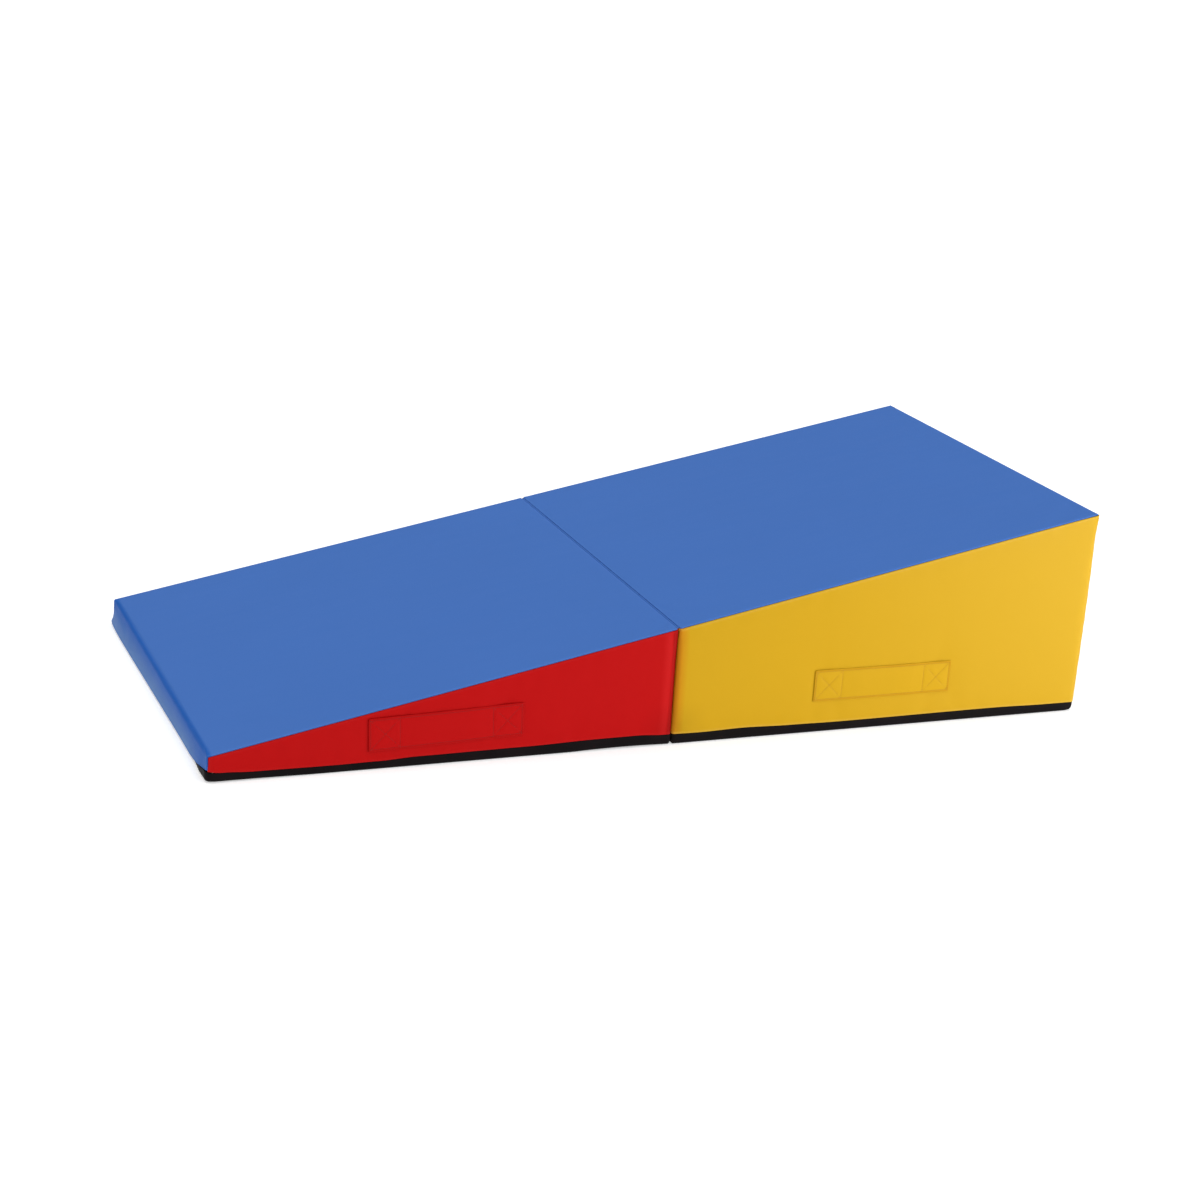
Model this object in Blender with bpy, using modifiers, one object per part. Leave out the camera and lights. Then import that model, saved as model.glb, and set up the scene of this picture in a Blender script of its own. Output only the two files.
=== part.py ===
"""Folding gymnastics wedge mat: two foam-filled vinyl sections joined by a hinge strip.

Frame: X runs along the mat, from the thin end at -X to the tall end at +X. Y runs across it, with the
front side at -Y. Z is up, and the origin is on the floor under the hinge line.
"""
import bpy
import bmesh
from math import atan, cos, degrees, pi, radians, sin
from mathutils import Matrix, Vector

# Driving dimensions, metres
SECTION_LENGTH = 0.762
MAT_WIDTH = 0.762
THIN_END_HEIGHT = 0.044
TALL_END_HEIGHT = 0.3556

# Cover
VINYL = 0.0010
BASE_VINYL = 0.0012
CLEARANCE = 0.0003
CORNER_RADIUS = 0.0090
THIN_EDGE_RADIUS = 0.0080
ARC_STEPS = 5
THIN_FLAP_HEIGHT = 0.0030
THIN_FLAP_CORNER = 0.0850
CUTTER_REACH = 0.0200

# Non-slip base
RIM_HEIGHT = 0.0150
BASE_CORNER_RADIUS = 0.0110
BASE_EDGE_RADIUS = 0.0090

# Foam
FOAM_BOARD = 0.0508

# Hinge between the sections
HINGE_GAP = 0.0030
HINGE_STRIP_WIDTH = 0.0400
HINGE_STRIP = 0.0010
PIVOT_ABOVE_TOP = 0.0010

# Carry handles
HANDLE_LENGTH = 0.2540
HANDLE_HEIGHT = 0.0550
HANDLE_STRAP = 0.0025
HANDLE_SEWN_END = 0.0530
HANDLE_RISE = 0.0280
FINGER_GAP = 0.0062
HANDLE_STEPS = 8
LOW_HANDLE_AT = (-0.3840, 0.0590)
LOW_HANDLE_TILT = radians(1.9)
HIGH_HANDLE_AT = (0.3810, 0.0800)
HIGH_HANDLE_TILT = radians(0.0)

# Cover zips, on the rear side above the base
ZIP_SLOT = 0.0104
ZIP_END_MARGIN = 0.0350
ZIP_SLOT_END = 0.0030
ZIP_FOAM_RECESS = 0.0058
TAPE = 0.0006
TAPE_WIDTH = 0.0080
CHAIN_WIDTH = 0.0060
CHAIN_THICKNESS = 0.0024
CHAIN_DEPTH = 0.0016
CHAIN_ROUND = 0.0007
STOP_LENGTH = 0.0030
STOP_WIDTH = 0.0084
STOP_THICKNESS = 0.0030
STOP_ROUND = 0.0004

# Zip slider
SLIDER_LENGTH = 0.0120
SLIDER_SHOULDER = 0.0094
SLIDER_TAIL = 0.0084
SLIDER_NECK = 0.35
SLIDER_SQUARENESS = 5
SLIDER_STEPS = 14
SLIDER_PLATE = 0.0011
SLIDER_CHANNEL_GAP = 0.0003
SLIDER_FLANGE = 0.0009
SLIDER_FLANGE_INSET = 0.0001
SLIDER_FLANGE_START = -0.0008
SLIDER_FLANGE_END = 0.0042
SLIDER_TAPE_GAP = 0.0003
DIVIDER_LENGTH = 0.0036
DIVIDER_WIDTH = 0.0026
DIVIDER_SHOULDER = 0.0014
DIVIDER_TIP = 0.0008
DIVIDER_INSET = 0.0003
BRIDGE_LENGTH = 0.0076
BRIDGE_WIDTH = 0.0022
BRIDGE_WINDOW = 0.0046
BRIDGE_WINDOW_HEIGHT = 0.0024
BRIDGE_BAR = 0.0012

# Zip pull tab
PULL_PIN_RADIUS = 0.0007
PULL_GAP = 0.0004
PULL_ARM = 0.0013
PULL_LENGTH = 0.0240
PULL_WIDTH = 0.0070
PULL_END_WIDTH = 0.0052
PULL_THICKNESS = 0.0014
PULL_HOLE_RADIUS = 0.0012
PULL_END_STEPS = 8

# Colours, linear
BLUE = (0.065, 0.168, 0.491)
RED = (0.540, 0.012, 0.011)
YELLOW = (0.760, 0.440, 0.030)
BLACK = (0.012, 0.011, 0.012)
FOAM = (0.780, 0.780, 0.760)
NICKEL = (0.560, 0.560, 0.550)

# Derived
SLOPE = (TALL_END_HEIGHT - THIN_END_HEIGHT) / (2 * SECTION_LENGTH)
SLOPE_ANGLE = atan(SLOPE)
HINGE_HEIGHT = THIN_END_HEIGHT + SLOPE * SECTION_LENGTH
PIVOT_HEIGHT = HINGE_HEIGHT + PIVOT_ABOVE_TOP
HALF_WIDTH = MAT_WIDTH / 2
SKIN = VINYL + CLEARANCE
ZIP_HEIGHT = RIM_HEIGHT + ZIP_SLOT / 2
ZIP_Y = HALF_WIDTH - CHAIN_DEPTH

for old in list(bpy.data.objects):
    bpy.data.objects.remove(old, do_unlink=True)

parts = bpy.data.collections.new("gymnastics_wedge_mat")
cutters = bpy.data.collections.new("cutters")
bpy.context.scene.collection.children.link(parts)
bpy.context.scene.collection.children.link(cutters)


def make_material(name, colour, roughness, metallic=0.0):
    """A Principled BSDF material of one colour."""
    material = bpy.data.materials.new(name)
    material.use_nodes = True
    shader = material.node_tree.nodes["Principled BSDF"]
    shader.inputs["Base Color"].default_value = (*colour, 1.0)
    shader.inputs["Roughness"].default_value = roughness
    shader.inputs["Metallic"].default_value = metallic
    return material


blue_vinyl = make_material("blue_vinyl", BLUE, 0.45)
red_vinyl = make_material("red_vinyl", RED, 0.45)
yellow_vinyl = make_material("yellow_vinyl", YELLOW, 0.45)
black_grip = make_material("black_grip", BLACK, 0.75)
white_foam = make_material("white_foam", FOAM, 0.90)
zip_cloth = make_material("zip_cloth", BLACK, 0.85)
zip_nylon = make_material("zip_nylon", BLACK, 0.40)
nickel = make_material("nickel", NICKEL, 0.30, 1.0)


def link_mesh(name, bm, material, collection=None):
    """Turns a bmesh into an object in the collection of parts, unless another is named."""
    if all(edge.is_manifold for edge in bm.edges):
        bmesh.ops.recalc_face_normals(bm, faces=bm.faces)
    mesh = bpy.data.meshes.new(name)
    bm.to_mesh(mesh)
    bm.free()
    thing = bpy.data.objects.new(name, mesh)
    (collection or parts).objects.link(thing)
    if material:
        mesh.materials.append(material)
    return thing


def make_cutter(name, bm):
    """A guide solid that other pieces are cut with."""
    cutter = link_mesh(name, bm, None, cutters)
    cutter.hide_render = True
    cutter.display_type = "WIRE"
    return cutter


def box(low, high):
    """A bmesh block between two corners."""
    bm = bmesh.new()
    bmesh.ops.create_cube(bm, size=1.0)
    for v in bm.verts:
        v.co = Vector([(a + b) / 2 + c * (b - a) for a, b, c in zip(low, high, v.co)])
    return bm


def add_boolean(thing, operation, cutter):
    """An exact Boolean modifier on a piece."""
    cut = thing.modifiers.new(operation.lower() + "_" + cutter.name, "BOOLEAN")
    cut.operation = operation
    cut.object = cutter
    cut.solver = "EXACT"


def edge_runs(edge, axis):
    """Whether an edge runs along one axis."""
    run = edge.verts[1].co - edge.verts[0].co
    return abs(run[axis]) > 0.999 * run.length


def round_block(low, high, corner_radius, edge_radius=0.0, ends=(-1, 1)):
    """A block whose upright corners are round at the chosen X ends, and so is its bottom edge if it has a radius."""
    bm = box(low, high)
    middle = (low[0] + high[0]) / 2
    upright = [e for e in bm.edges if edge_runs(e, 2) and (1 if e.verts[0].co.x > middle else -1) in ends]
    bmesh.ops.bevel(
        bm, geom=upright, offset=corner_radius, segments=ARC_STEPS, profile=0.5, affect="EDGES", clamp_overlap=True
    )
    if edge_radius:
        bottom = [e for e in bm.edges if all(abs(v.co.z - low[2]) < 1e-7 for v in e.verts)]
        bmesh.ops.bevel(
            bm, geom=bottom, offset=edge_radius, segments=ARC_STEPS, profile=0.5, affect="EDGES", clamp_overlap=True
        )
    return bm


def slice_off(bm, point, normal, fill=True):
    """Takes off what lies on the normal's side of a plane, and closes the cut if it is filled."""
    cut = bmesh.ops.bisect_plane(
        bm, geom=bm.verts[:] + bm.edges[:] + bm.faces[:], dist=1e-7, plane_co=point, plane_no=normal, clear_outer=True
    )
    if fill:
        edges = [g for g in cut["geom_cut"] if isinstance(g, bmesh.types.BMEdge)]
        bmesh.ops.edgeloop_fill(bm, edges=edges)
    return bm


def top_plane(drop):
    """A point and the upward normal of the sloping top, lowered by a drop measured square to it."""
    normal = Vector((-sin(SLOPE_ANGLE), 0.0, cos(SLOPE_ANGLE)))
    return Vector((0.0, 0.0, HINGE_HEIGHT)) - normal * drop, normal


def round_thin_edge(bm, inset, fill=True):
    """Rounds the top edge at the thin end, by planes that touch its arc."""
    radius = THIN_EDGE_RADIUS - inset
    turn = pi / 2 - SLOPE_ANGLE
    centre_x = -SECTION_LENGTH + THIN_EDGE_RADIUS
    point, normal = top_plane(THIN_EDGE_RADIUS)
    centre_z = point.z - (centre_x - point.x) * normal.x / normal.z
    for step in range(1, ARC_STEPS + 1):
        angle = turn * step / (ARC_STEPS + 1)
        facet = Vector((-sin(SLOPE_ANGLE + angle), 0.0, cos(SLOPE_ANGLE + angle)))
        slice_off(bm, Vector((centre_x, 0.0, centre_z)) + facet * radius, facet, fill)
    return bm


def section_ends(side, near_inset=0.0, far_inset=0.0):
    """The X range of the low (-1) or high (+1) section, drawn in from its hinge wall and its far end."""
    near = side * (HINGE_GAP / 2 + near_inset)
    far = side * (SECTION_LENGTH - far_inset)
    return min(near, far), max(near, far)


def cover_block(side):
    """The outer shape of a section's cover. The thin end keeps square corners, where its seams are."""
    x0, x1 = section_ends(side)
    ends = (1,) if side < 0 else (-1, 1)
    bm = round_block(
        (x0, -HALF_WIDTH, 0.0), (x1, HALF_WIDTH, TALL_END_HEIGHT + CUTTER_REACH), CORNER_RADIUS, ends=ends
    )
    slice_off(bm, *top_plane(0.0))
    if side < 0:
        round_thin_edge(bm, 0.0)
    return bm


def base_far_inset(side):
    """At the thin end the base stands behind the top cover's flap."""
    return SKIN if side < 0 else 0.0


def keep_faces(bm, wanted):
    """Deletes the faces of a block that don't pass a test, which leaves an open sheet."""
    unwanted = [f for f in bm.faces if not wanted(f)]
    bmesh.ops.delete(bm, geom=unwanted, context="FACES")
    return bm


def thicken(thing, thickness):
    """Gives a sheet its thickness, inward from its outer face."""
    shell = thing.modifiers.new("thickness", "SOLIDIFY")
    shell.thickness = thickness
    shell.offset = -1.0
    shell.use_even_offset = True
    shell.use_quality_normals = True


def shade_round(thing, angle=35):
    """Smooth shading, with the edges past an angle kept sharp."""
    thing.data.shade_smooth()
    thing.data.set_sharp_from_angle(angle=radians(angle))


def cut_flap(bm):
    """Ends the thin end's flap just off the floor, and higher towards its corners, where the base's rim shows."""
    slice_off(bm, (0, 0, THIN_FLAP_HEIGHT), (0, 0, -1), fill=False)
    rim_top = RIM_HEIGHT + CLEARANCE
    for y in (-1, 1):
        normal = (0, y * (rim_top - THIN_FLAP_HEIGHT), -THIN_FLAP_CORNER)
        slice_off(bm, (0, y * HALF_WIDTH, rim_top), normal, fill=False)


def low_top_cover(name, material):
    """The low section's top panel, which also wraps down over the thin end as a flap in front of the base."""
    bm = cover_block(-1)
    bm.normal_update()
    _, up = top_plane(0.0)
    keep_faces(bm, lambda face: abs(face.normal.y) < 0.01 and face.normal.x < up.x + 0.01)
    cut_flap(bm)
    cover = link_mesh(name, bm, material)
    thicken(cover, VINYL)
    shade_round(cover)
    return cover


def high_top_cover(name, material):
    """The high section's top panel, a flat sheet on the slope."""
    bm = cover_block(1)
    point, up = top_plane(VINYL)
    slice_off(bm, point, -up)
    cover = link_mesh(name, bm, material)
    shade_round(cover)
    return cover


def band_panel(name, side, facing, material):
    """An upright panel of the side band: front (facing -Y), rear (+Y), hinge wall or end wall (X).

    The front and rear panels turn the round corners, so that their seams lie on the walls between them.
    """
    bm = cover_block(side)
    bm.normal_update()
    keep_faces(bm, lambda face: abs(face.normal.z) < 0.01)
    seam = HALF_WIDTH - CORNER_RADIUS
    if facing in ("front", "rear"):
        y = -1 if facing == "front" else 1
        slice_off(bm, (0, y * (seam + CLEARANCE / 2), 0), (0, -y, 0), fill=False)
        if side < 0:
            slice_off(bm, (-SECTION_LENGTH + SKIN, 0, 0), (-1, 0, 0), fill=False)
            round_thin_edge(bm, SKIN, fill=False)
        drop = SKIN
    else:
        x = side if facing == "end" else -side
        keep_faces(bm, lambda face: face.normal.x * x > 0.999)
        slice_off(bm, (0, seam - CLEARANCE / 2, 0), (0, 1, 0), fill=False)
        slice_off(bm, (0, -seam + CLEARANCE / 2, 0), (0, -1, 0), fill=False)
        drop = SKIN + (HINGE_STRIP + CLEARANCE if facing == "hinge" else 0)
    point, normal = top_plane(drop)
    slice_off(bm, point, normal, fill=False)
    slice_off(bm, (0, 0, RIM_HEIGHT + CLEARANCE), (0, 0, -1), fill=False)
    panel = link_mesh(name, bm, material)
    thicken(panel, VINYL)
    shade_round(panel)
    return panel


def base_tray(name, side, material):
    """The non-slip base: a flat bottom whose edge turns up all round as a rim."""
    x0, x1 = section_ends(side, 0.0, base_far_inset(side))
    high = RIM_HEIGHT + CUTTER_REACH
    bm = round_block((x0, -HALF_WIDTH, 0.0), (x1, HALF_WIDTH, high), BASE_CORNER_RADIUS, BASE_EDGE_RADIUS)
    slice_off(bm, (0, 0, RIM_HEIGHT), (0, 0, 1), fill=False)
    base = link_mesh(name, bm, material)
    thicken(base, BASE_VINYL)
    shade_round(base)
    return base


def foam_boards(prefix, side, rebate, material):
    """The core: boards laid on each other, cut to the slope, and round where the cover is.

    The top board takes what is left, so it is from half a board to a board and a half thick at its tall end.
    """
    inset = BASE_VINYL + CLEARANCE
    top_end = TALL_END_HEIGHT if side > 0 else HINGE_HEIGHT
    count = max(1, round((top_end - SKIN - inset) / FOAM_BOARD))
    x0, x1 = section_ends(side, inset, base_far_inset(side) + inset)
    half = HALF_WIDTH - inset
    strip_low = HINGE_HEIGHT - SLOPE * HINGE_STRIP_WIDTH - HINGE_STRIP - 2 * SKIN
    strip_high = HINGE_HEIGHT + SLOPE * HINGE_STRIP_WIDTH
    boards = []
    for n in range(count):
        low = inset + n * FOAM_BOARD
        high = low + FOAM_BOARD if n < count - 1 else top_end
        bm = round_block(
            (x0, -half, inset), (x1, half, TALL_END_HEIGHT + CUTTER_REACH),
            BASE_CORNER_RADIUS - inset, BASE_EDGE_RADIUS - inset,
        )
        slice_off(bm, *top_plane(SKIN))
        if side < 0:
            round_thin_edge(bm, inset)
        if n:
            slice_off(bm, (0, 0, low), (0, 0, -1))
        if n < count - 1:
            slice_off(bm, (0, 0, high - CLEARANCE), (0, 0, 1))
        board = link_mesh("%s_foam_board_%d" % (prefix, n + 1), bm, material)
        if low < strip_high and high > strip_low:
            add_boolean(board, "DIFFERENCE", rebate)
        boards.append(board)
    return boards


def handle(name, at, tilt, face, material):
    """A strap sewn flat at both ends, whose middle stands off the side by a finger gap."""
    seat = CLEARANCE
    half = HANDLE_LENGTH / 2
    foot = half - HANDLE_SEWN_END
    xs = [-half, -foot]
    offsets = [seat, seat]
    for step in range(1, HANDLE_STEPS + 1):
        share = step / HANDLE_STEPS
        xs.append(-foot + share * HANDLE_RISE)
        offsets.append(seat + (FINGER_GAP - seat) * (3 - 2 * share) * share ** 2)
    xs += [-x for x in reversed(xs)]
    offsets += list(reversed(offsets))
    bm = bmesh.new()
    verts = [bm.verts.new((x, face * d, -HANDLE_HEIGHT / 2)) for x, d in zip(xs, offsets)]
    edges = [bm.edges.new(pair) for pair in zip(verts, verts[1:])]
    wall = bmesh.ops.extrude_edge_only(bm, edges=edges)
    moved = [g for g in wall["geom"] if isinstance(g, bmesh.types.BMVert)]
    bmesh.ops.translate(bm, verts=moved, vec=(0, 0, HANDLE_HEIGHT))
    bmesh.ops.recalc_face_normals(bm, faces=bm.faces)
    bm.normal_update()
    outward = bm.faces[0].normal.y * face > 0
    strap = link_mesh(name, bm, material)
    shell = strap.modifiers.new("thickness", "SOLIDIFY")
    shell.thickness = HANDLE_STRAP
    shell.offset = 1.0 if outward else -1.0
    shell.use_even_offset = True
    strap.location = (at[0], face * HALF_WIDTH, at[1])
    strap.rotation_euler = (0, -tilt, 0)
    shade_round(strap)
    return strap


def hinge_strip(name, material):
    """The vinyl strip under the meeting edges of both top covers, which the mat folds about."""
    half = HINGE_STRIP_WIDTH / 2
    y = HALF_WIDTH - CORNER_RADIUS - CLEARANCE
    bm = box((-half, -y, 0.0), (half, y, TALL_END_HEIGHT))
    point, normal = top_plane(SKIN)
    slice_off(bm, point, normal)
    point, normal = top_plane(SKIN + HINGE_STRIP)
    slice_off(bm, point, -normal)
    return link_mesh(name, bm, material)


def strip_rebate():
    """The room that the foam leaves for the hinge strip."""
    half = HINGE_STRIP_WIDTH / 2 + CLEARANCE
    reach = HALF_WIDTH + CUTTER_REACH
    bm = box((-half, -reach, 0.0), (half, reach, TALL_END_HEIGHT + CUTTER_REACH))
    point, normal = top_plane(SKIN + HINGE_STRIP + CLEARANCE)
    slice_off(bm, point, -normal)
    return make_cutter("strip_rebate", bm)


def zip_ends(side):
    """Where a zip's tapes start, by the hinge, and end, by the section's far end."""
    return side * ZIP_END_MARGIN, side * (SECTION_LENGTH - ZIP_END_MARGIN)


def zip_slot(name, side):
    """The gap in the rear panel's lower edge that the zip shows in."""
    near, far = zip_ends(side)
    x0 = min(near, far) - ZIP_SLOT_END
    x1 = max(near, far) + ZIP_SLOT_END
    bm = box((x0, HALF_WIDTH - CUTTER_REACH, 0.0), (x1, HALF_WIDTH + CUTTER_REACH, RIM_HEIGHT + ZIP_SLOT))
    return make_cutter(name, bm)


def zip_recess(name, side):
    """The channel in the bottom foam board behind the zip."""
    near, far = zip_ends(side)
    x0 = min(near, far) - ZIP_SLOT_END
    x1 = max(near, far) + ZIP_SLOT_END
    reach = CHAIN_WIDTH / 2 + TAPE_WIDTH + 3 * CLEARANCE
    bm = box(
        (x0, HALF_WIDTH - ZIP_FOAM_RECESS, ZIP_HEIGHT - reach),
        (x1, HALF_WIDTH + CUTTER_REACH, ZIP_HEIGHT + reach),
    )
    return make_cutter(name, bm)


def zip_tapes(prefix, side, material):
    """The two cloth tapes, one sewn behind the rear panel and one behind the base's rim."""
    near, far = zip_ends(side)
    x0, x1 = min(near, far), max(near, far)
    inner = CHAIN_WIDTH / 2 + CLEARANCE
    for name, z in (("upper", 1), ("lower", -1)):
        levels = sorted((ZIP_HEIGHT + z * inner, ZIP_HEIGHT + z * (inner + TAPE_WIDTH)))
        bm = box((x0, ZIP_Y - TAPE / 2, levels[0]), (x1, ZIP_Y + TAPE / 2, levels[1]))
        link_mesh("%s_zip_%s_tape" % (prefix, name), bm, material)


def slider_place(side):
    """The X of a slider's middle when its zip is closed, up against the stop by the hinge."""
    near, _ = zip_ends(side)
    return near + side * (2 * CLEARANCE + STOP_LENGTH + SLIDER_LENGTH / 2)


def zip_chain(name, side, material):
    """The closed teeth, from the slider's divider to the far stop, as one rounded bar."""
    _, far = zip_ends(side)
    start = slider_place(side) - side * (SLIDER_LENGTH / 2 - DIVIDER_LENGTH - 2 * CLEARANCE)
    stop = far - side * (STOP_LENGTH + 2 * CLEARANCE)
    half = CHAIN_WIDTH / 2
    bm = box(
        (min(start, stop), ZIP_Y - CHAIN_THICKNESS / 2, ZIP_HEIGHT - half),
        (max(start, stop), ZIP_Y + CHAIN_THICKNESS / 2, ZIP_HEIGHT + half),
    )
    long_edges = [e for e in bm.edges if edge_runs(e, 0)]
    bmesh.ops.bevel(bm, geom=long_edges, offset=CHAIN_ROUND, segments=2, profile=0.5, affect="EDGES")
    chain = link_mesh(name, bm, material)
    shade_round(chain)
    return chain


def zip_stop(name, x, side, material):
    """A staple over both tapes that ends the chain, with a slot that each tape passes through."""
    x0, x1 = sorted((x, x + side * STOP_LENGTH))
    half = STOP_WIDTH / 2
    bm = box(
        (x0, ZIP_Y - STOP_THICKNESS / 2, ZIP_HEIGHT - half),
        (x1, ZIP_Y + STOP_THICKNESS / 2, ZIP_HEIGHT + half),
    )
    bmesh.ops.bevel(bm, geom=bm.edges[:], offset=STOP_ROUND, segments=2, profile=0.5, affect="EDGES")
    stop = link_mesh(name, bm, material)
    slot = TAPE / 2 + CLEARANCE
    inner = CHAIN_WIDTH / 2
    for z, label in ((1, "upper"), (-1, "lower")):
        levels = sorted((ZIP_HEIGHT + z * inner, ZIP_HEIGHT + z * STOP_WIDTH))
        groove = box((x0 - slot, ZIP_Y - slot, levels[0]), (x1 + slot, ZIP_Y + slot, levels[1]))
        add_boolean(stop, "DIFFERENCE", make_cutter(name + "_" + label + "_slot", groove))
    shade_round(stop)
    return stop


def slider_outline(side):
    """The slider seen square on: round shoulders by the divider, and a narrower tail over the closed teeth."""
    half = SLIDER_LENGTH / 2
    edge = []
    for step in range(SLIDER_STEPS + 1):
        x = -cos(pi * step / SLIDER_STEPS)
        along = min(max((x + SLIDER_NECK) / (2 * SLIDER_NECK), 0.0), 1.0)
        width = SLIDER_SHOULDER + (SLIDER_TAIL - SLIDER_SHOULDER) * (3 - 2 * along) * along ** 2
        edge.append((x * half, width / 2 * (1 - abs(x) ** SLIDER_SQUARENESS) ** (1 / SLIDER_SQUARENESS)))
    points = edge + [(x, -z) for x, z in reversed(edge[1:-1])]
    return [(side * x, z) for x, z in points]


def flat_piece(name, outline, y, thickness, material, collection=None):
    """A flat plate in the XZ plane, from a closed 2D curve, as a mesh."""
    curve = bpy.data.curves.new(name + "_outline", "CURVE")
    curve.dimensions = "2D"
    curve.fill_mode = "BOTH"
    curve.extrude = thickness / 2
    line = curve.splines.new("POLY")
    line.points.add(len(outline) - 1)
    for point, (x, z) in zip(line.points, outline):
        point.co = (x, z, 0, 1)
    line.use_cyclic_u = True
    drawn = bpy.data.objects.new(name + "_drawn", curve)
    cutters.objects.link(drawn)
    drawn.rotation_euler = (pi / 2, 0, 0)
    drawn.location = (0, y, 0)
    bpy.context.view_layer.update()
    mesh = bpy.data.meshes.new_from_object(drawn.evaluated_get(bpy.context.evaluated_depsgraph_get()))
    bm = bmesh.new()
    bm.from_mesh(mesh)
    bmesh.ops.transform(bm, matrix=drawn.matrix_world, verts=bm.verts)
    bmesh.ops.remove_doubles(bm, verts=bm.verts, dist=1e-6)
    bpy.data.objects.remove(drawn)
    bpy.data.meshes.remove(mesh)
    return link_mesh(name, bm, material, collection)


def move_to_cutters(thing):
    """Keeps a piece only as a guide for a Boolean."""
    thing.hide_render = True
    thing.display_type = "WIRE"
    return thing


def zip_slider(name, side, material):
    """The slider: two plates round the chain, flanges, the divider that parts the teeth, and the pull's bridge."""
    inner = CHAIN_THICKNESS / 2 + SLIDER_CHANNEL_GAP
    middle = inner + SLIDER_PLATE / 2
    body = flat_piece(name, slider_outline(side), middle, SLIDER_PLATE, material)
    back = move_to_cutters(
        flat_piece(name + "_back", slider_outline(side), -middle, SLIDER_PLATE, None, cutters)
    )
    add_boolean(body, "UNION", back)
    slot = TAPE / 2 + SLIDER_TAPE_GAP
    tail = SLIDER_TAIL / 2
    flange_x = sorted((side * SLIDER_FLANGE_START, side * SLIDER_FLANGE_END))
    for label, y0, y1 in (("outer", slot, inner + SLIDER_PLATE / 2), ("inner", -inner - SLIDER_PLATE / 2, -slot)):
        for z, edge in ((1, "upper"), (-1, "lower")):
            levels = sorted((z * (tail - SLIDER_FLANGE), z * (tail - SLIDER_FLANGE_INSET)))
            bm = box((flange_x[0], y0, levels[0]), (flange_x[1], y1, levels[1]))
            add_boolean(body, "UNION", make_cutter("%s_%s_%s_flange" % (name, label, edge), bm))
    tip = -SLIDER_LENGTH / 2 + DIVIDER_INSET
    upper = [
        (side * tip, DIVIDER_TIP / 2),
        (side * (tip + DIVIDER_SHOULDER), DIVIDER_WIDTH / 2),
        (side * (tip + DIVIDER_LENGTH), DIVIDER_TIP / 2),
    ]
    divider = upper + [(x, -z) for x, z in reversed(upper)]
    post = flat_piece(name + "_divider", divider, 0.0, 2 * middle, None, cutters)
    add_boolean(body, "UNION", move_to_cutters(post))
    root = inner + SLIDER_PLATE
    half = BRIDGE_LENGTH / 2
    top = BRIDGE_WINDOW_HEIGHT + BRIDGE_BAR
    bm = box((-half, root - SLIDER_PLATE / 2, -BRIDGE_WIDTH / 2), (half, root + top, BRIDGE_WIDTH / 2))
    crown = [e for e in bm.edges if edge_runs(e, 2) and e.verts[0].co.y > root + top / 2]
    bmesh.ops.bevel(bm, geom=crown, offset=BRIDGE_BAR, segments=4, profile=0.5, affect="EDGES")
    add_boolean(body, "UNION", make_cutter(name + "_bridge", bm))
    window = box(
        (-BRIDGE_WINDOW / 2, root, -BRIDGE_WIDTH), (BRIDGE_WINDOW / 2, root + BRIDGE_WINDOW_HEIGHT, BRIDGE_WIDTH)
    )
    add_boolean(body, "DIFFERENCE", make_cutter(name + "_window", window))
    place = Vector((slider_place(side), ZIP_Y, ZIP_HEIGHT))
    for thing in [body] + [m.object for m in body.modifiers]:
        thing.location = place
    shade_round(body)
    return body


def pull_axis():
    """How far out of the chain's middle the pull tab's pin lies."""
    root = CHAIN_THICKNESS / 2 + SLIDER_CHANNEL_GAP + SLIDER_PLATE
    return root + BRIDGE_WINDOW_HEIGHT / 2


def zip_pull(name, side, material):
    """The pull tab: a pin under the slider's bridge, two arms past it, and a flat tab with a hole."""
    clear = BRIDGE_WIDTH / 2 + PULL_GAP
    corner = Vector((BRIDGE_LENGTH / 2, BRIDGE_WINDOW_HEIGHT / 2 + BRIDGE_BAR)).length
    eye = corner + PULL_GAP
    wide = clear + PULL_ARM
    end = PULL_END_WIDTH / 2
    outline = [(-PULL_PIN_RADIUS, -wide), (eye + PULL_ARM, -PULL_WIDTH / 2)]
    for step in range(PULL_END_STEPS + 1):
        angle = pi * step / PULL_END_STEPS - pi / 2
        outline.append((PULL_LENGTH - end + end * cos(angle), end * sin(angle)))
    outline += [(eye + PULL_ARM, PULL_WIDTH / 2), (-PULL_PIN_RADIUS, wide)]
    tab = flat_piece(name, [(side * x, z) for x, z in outline], 0.0, PULL_THICKNESS, material)
    near = side * PULL_PIN_RADIUS
    far = side * eye
    bm = box((min(near, far), -PULL_THICKNESS, -clear), (max(near, far), PULL_THICKNESS, clear))
    add_boolean(tab, "DIFFERENCE", make_cutter(name + "_eye", bm))
    bm = bmesh.new()
    bmesh.ops.create_cone(
        bm, cap_ends=True, segments=16, radius1=PULL_HOLE_RADIUS, radius2=PULL_HOLE_RADIUS, depth=CUTTER_REACH
    )
    bmesh.ops.rotate(bm, verts=bm.verts, cent=(0, 0, 0), matrix=Matrix.Rotation(pi / 2, 3, "X"))
    bmesh.ops.translate(bm, verts=bm.verts, vec=(side * (PULL_LENGTH - end), 0, 0))
    add_boolean(tab, "DIFFERENCE", make_cutter(name + "_hole", bm))
    place = Vector((slider_place(side), ZIP_Y + pull_axis(), ZIP_HEIGHT))
    for thing in [tab] + [m.object for m in tab.modifiers]:
        thing.location = place
    shade_round(tab)
    return tab


def parent_all(things, empty):
    """Hangs pieces on an empty without moving them."""
    bpy.context.view_layer.update()
    for thing in things:
        world = thing.matrix_world.copy()
        thing.parent = empty
        thing.matrix_parent_inverse = empty.matrix_world.inverted()
        thing.matrix_world = world


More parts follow.
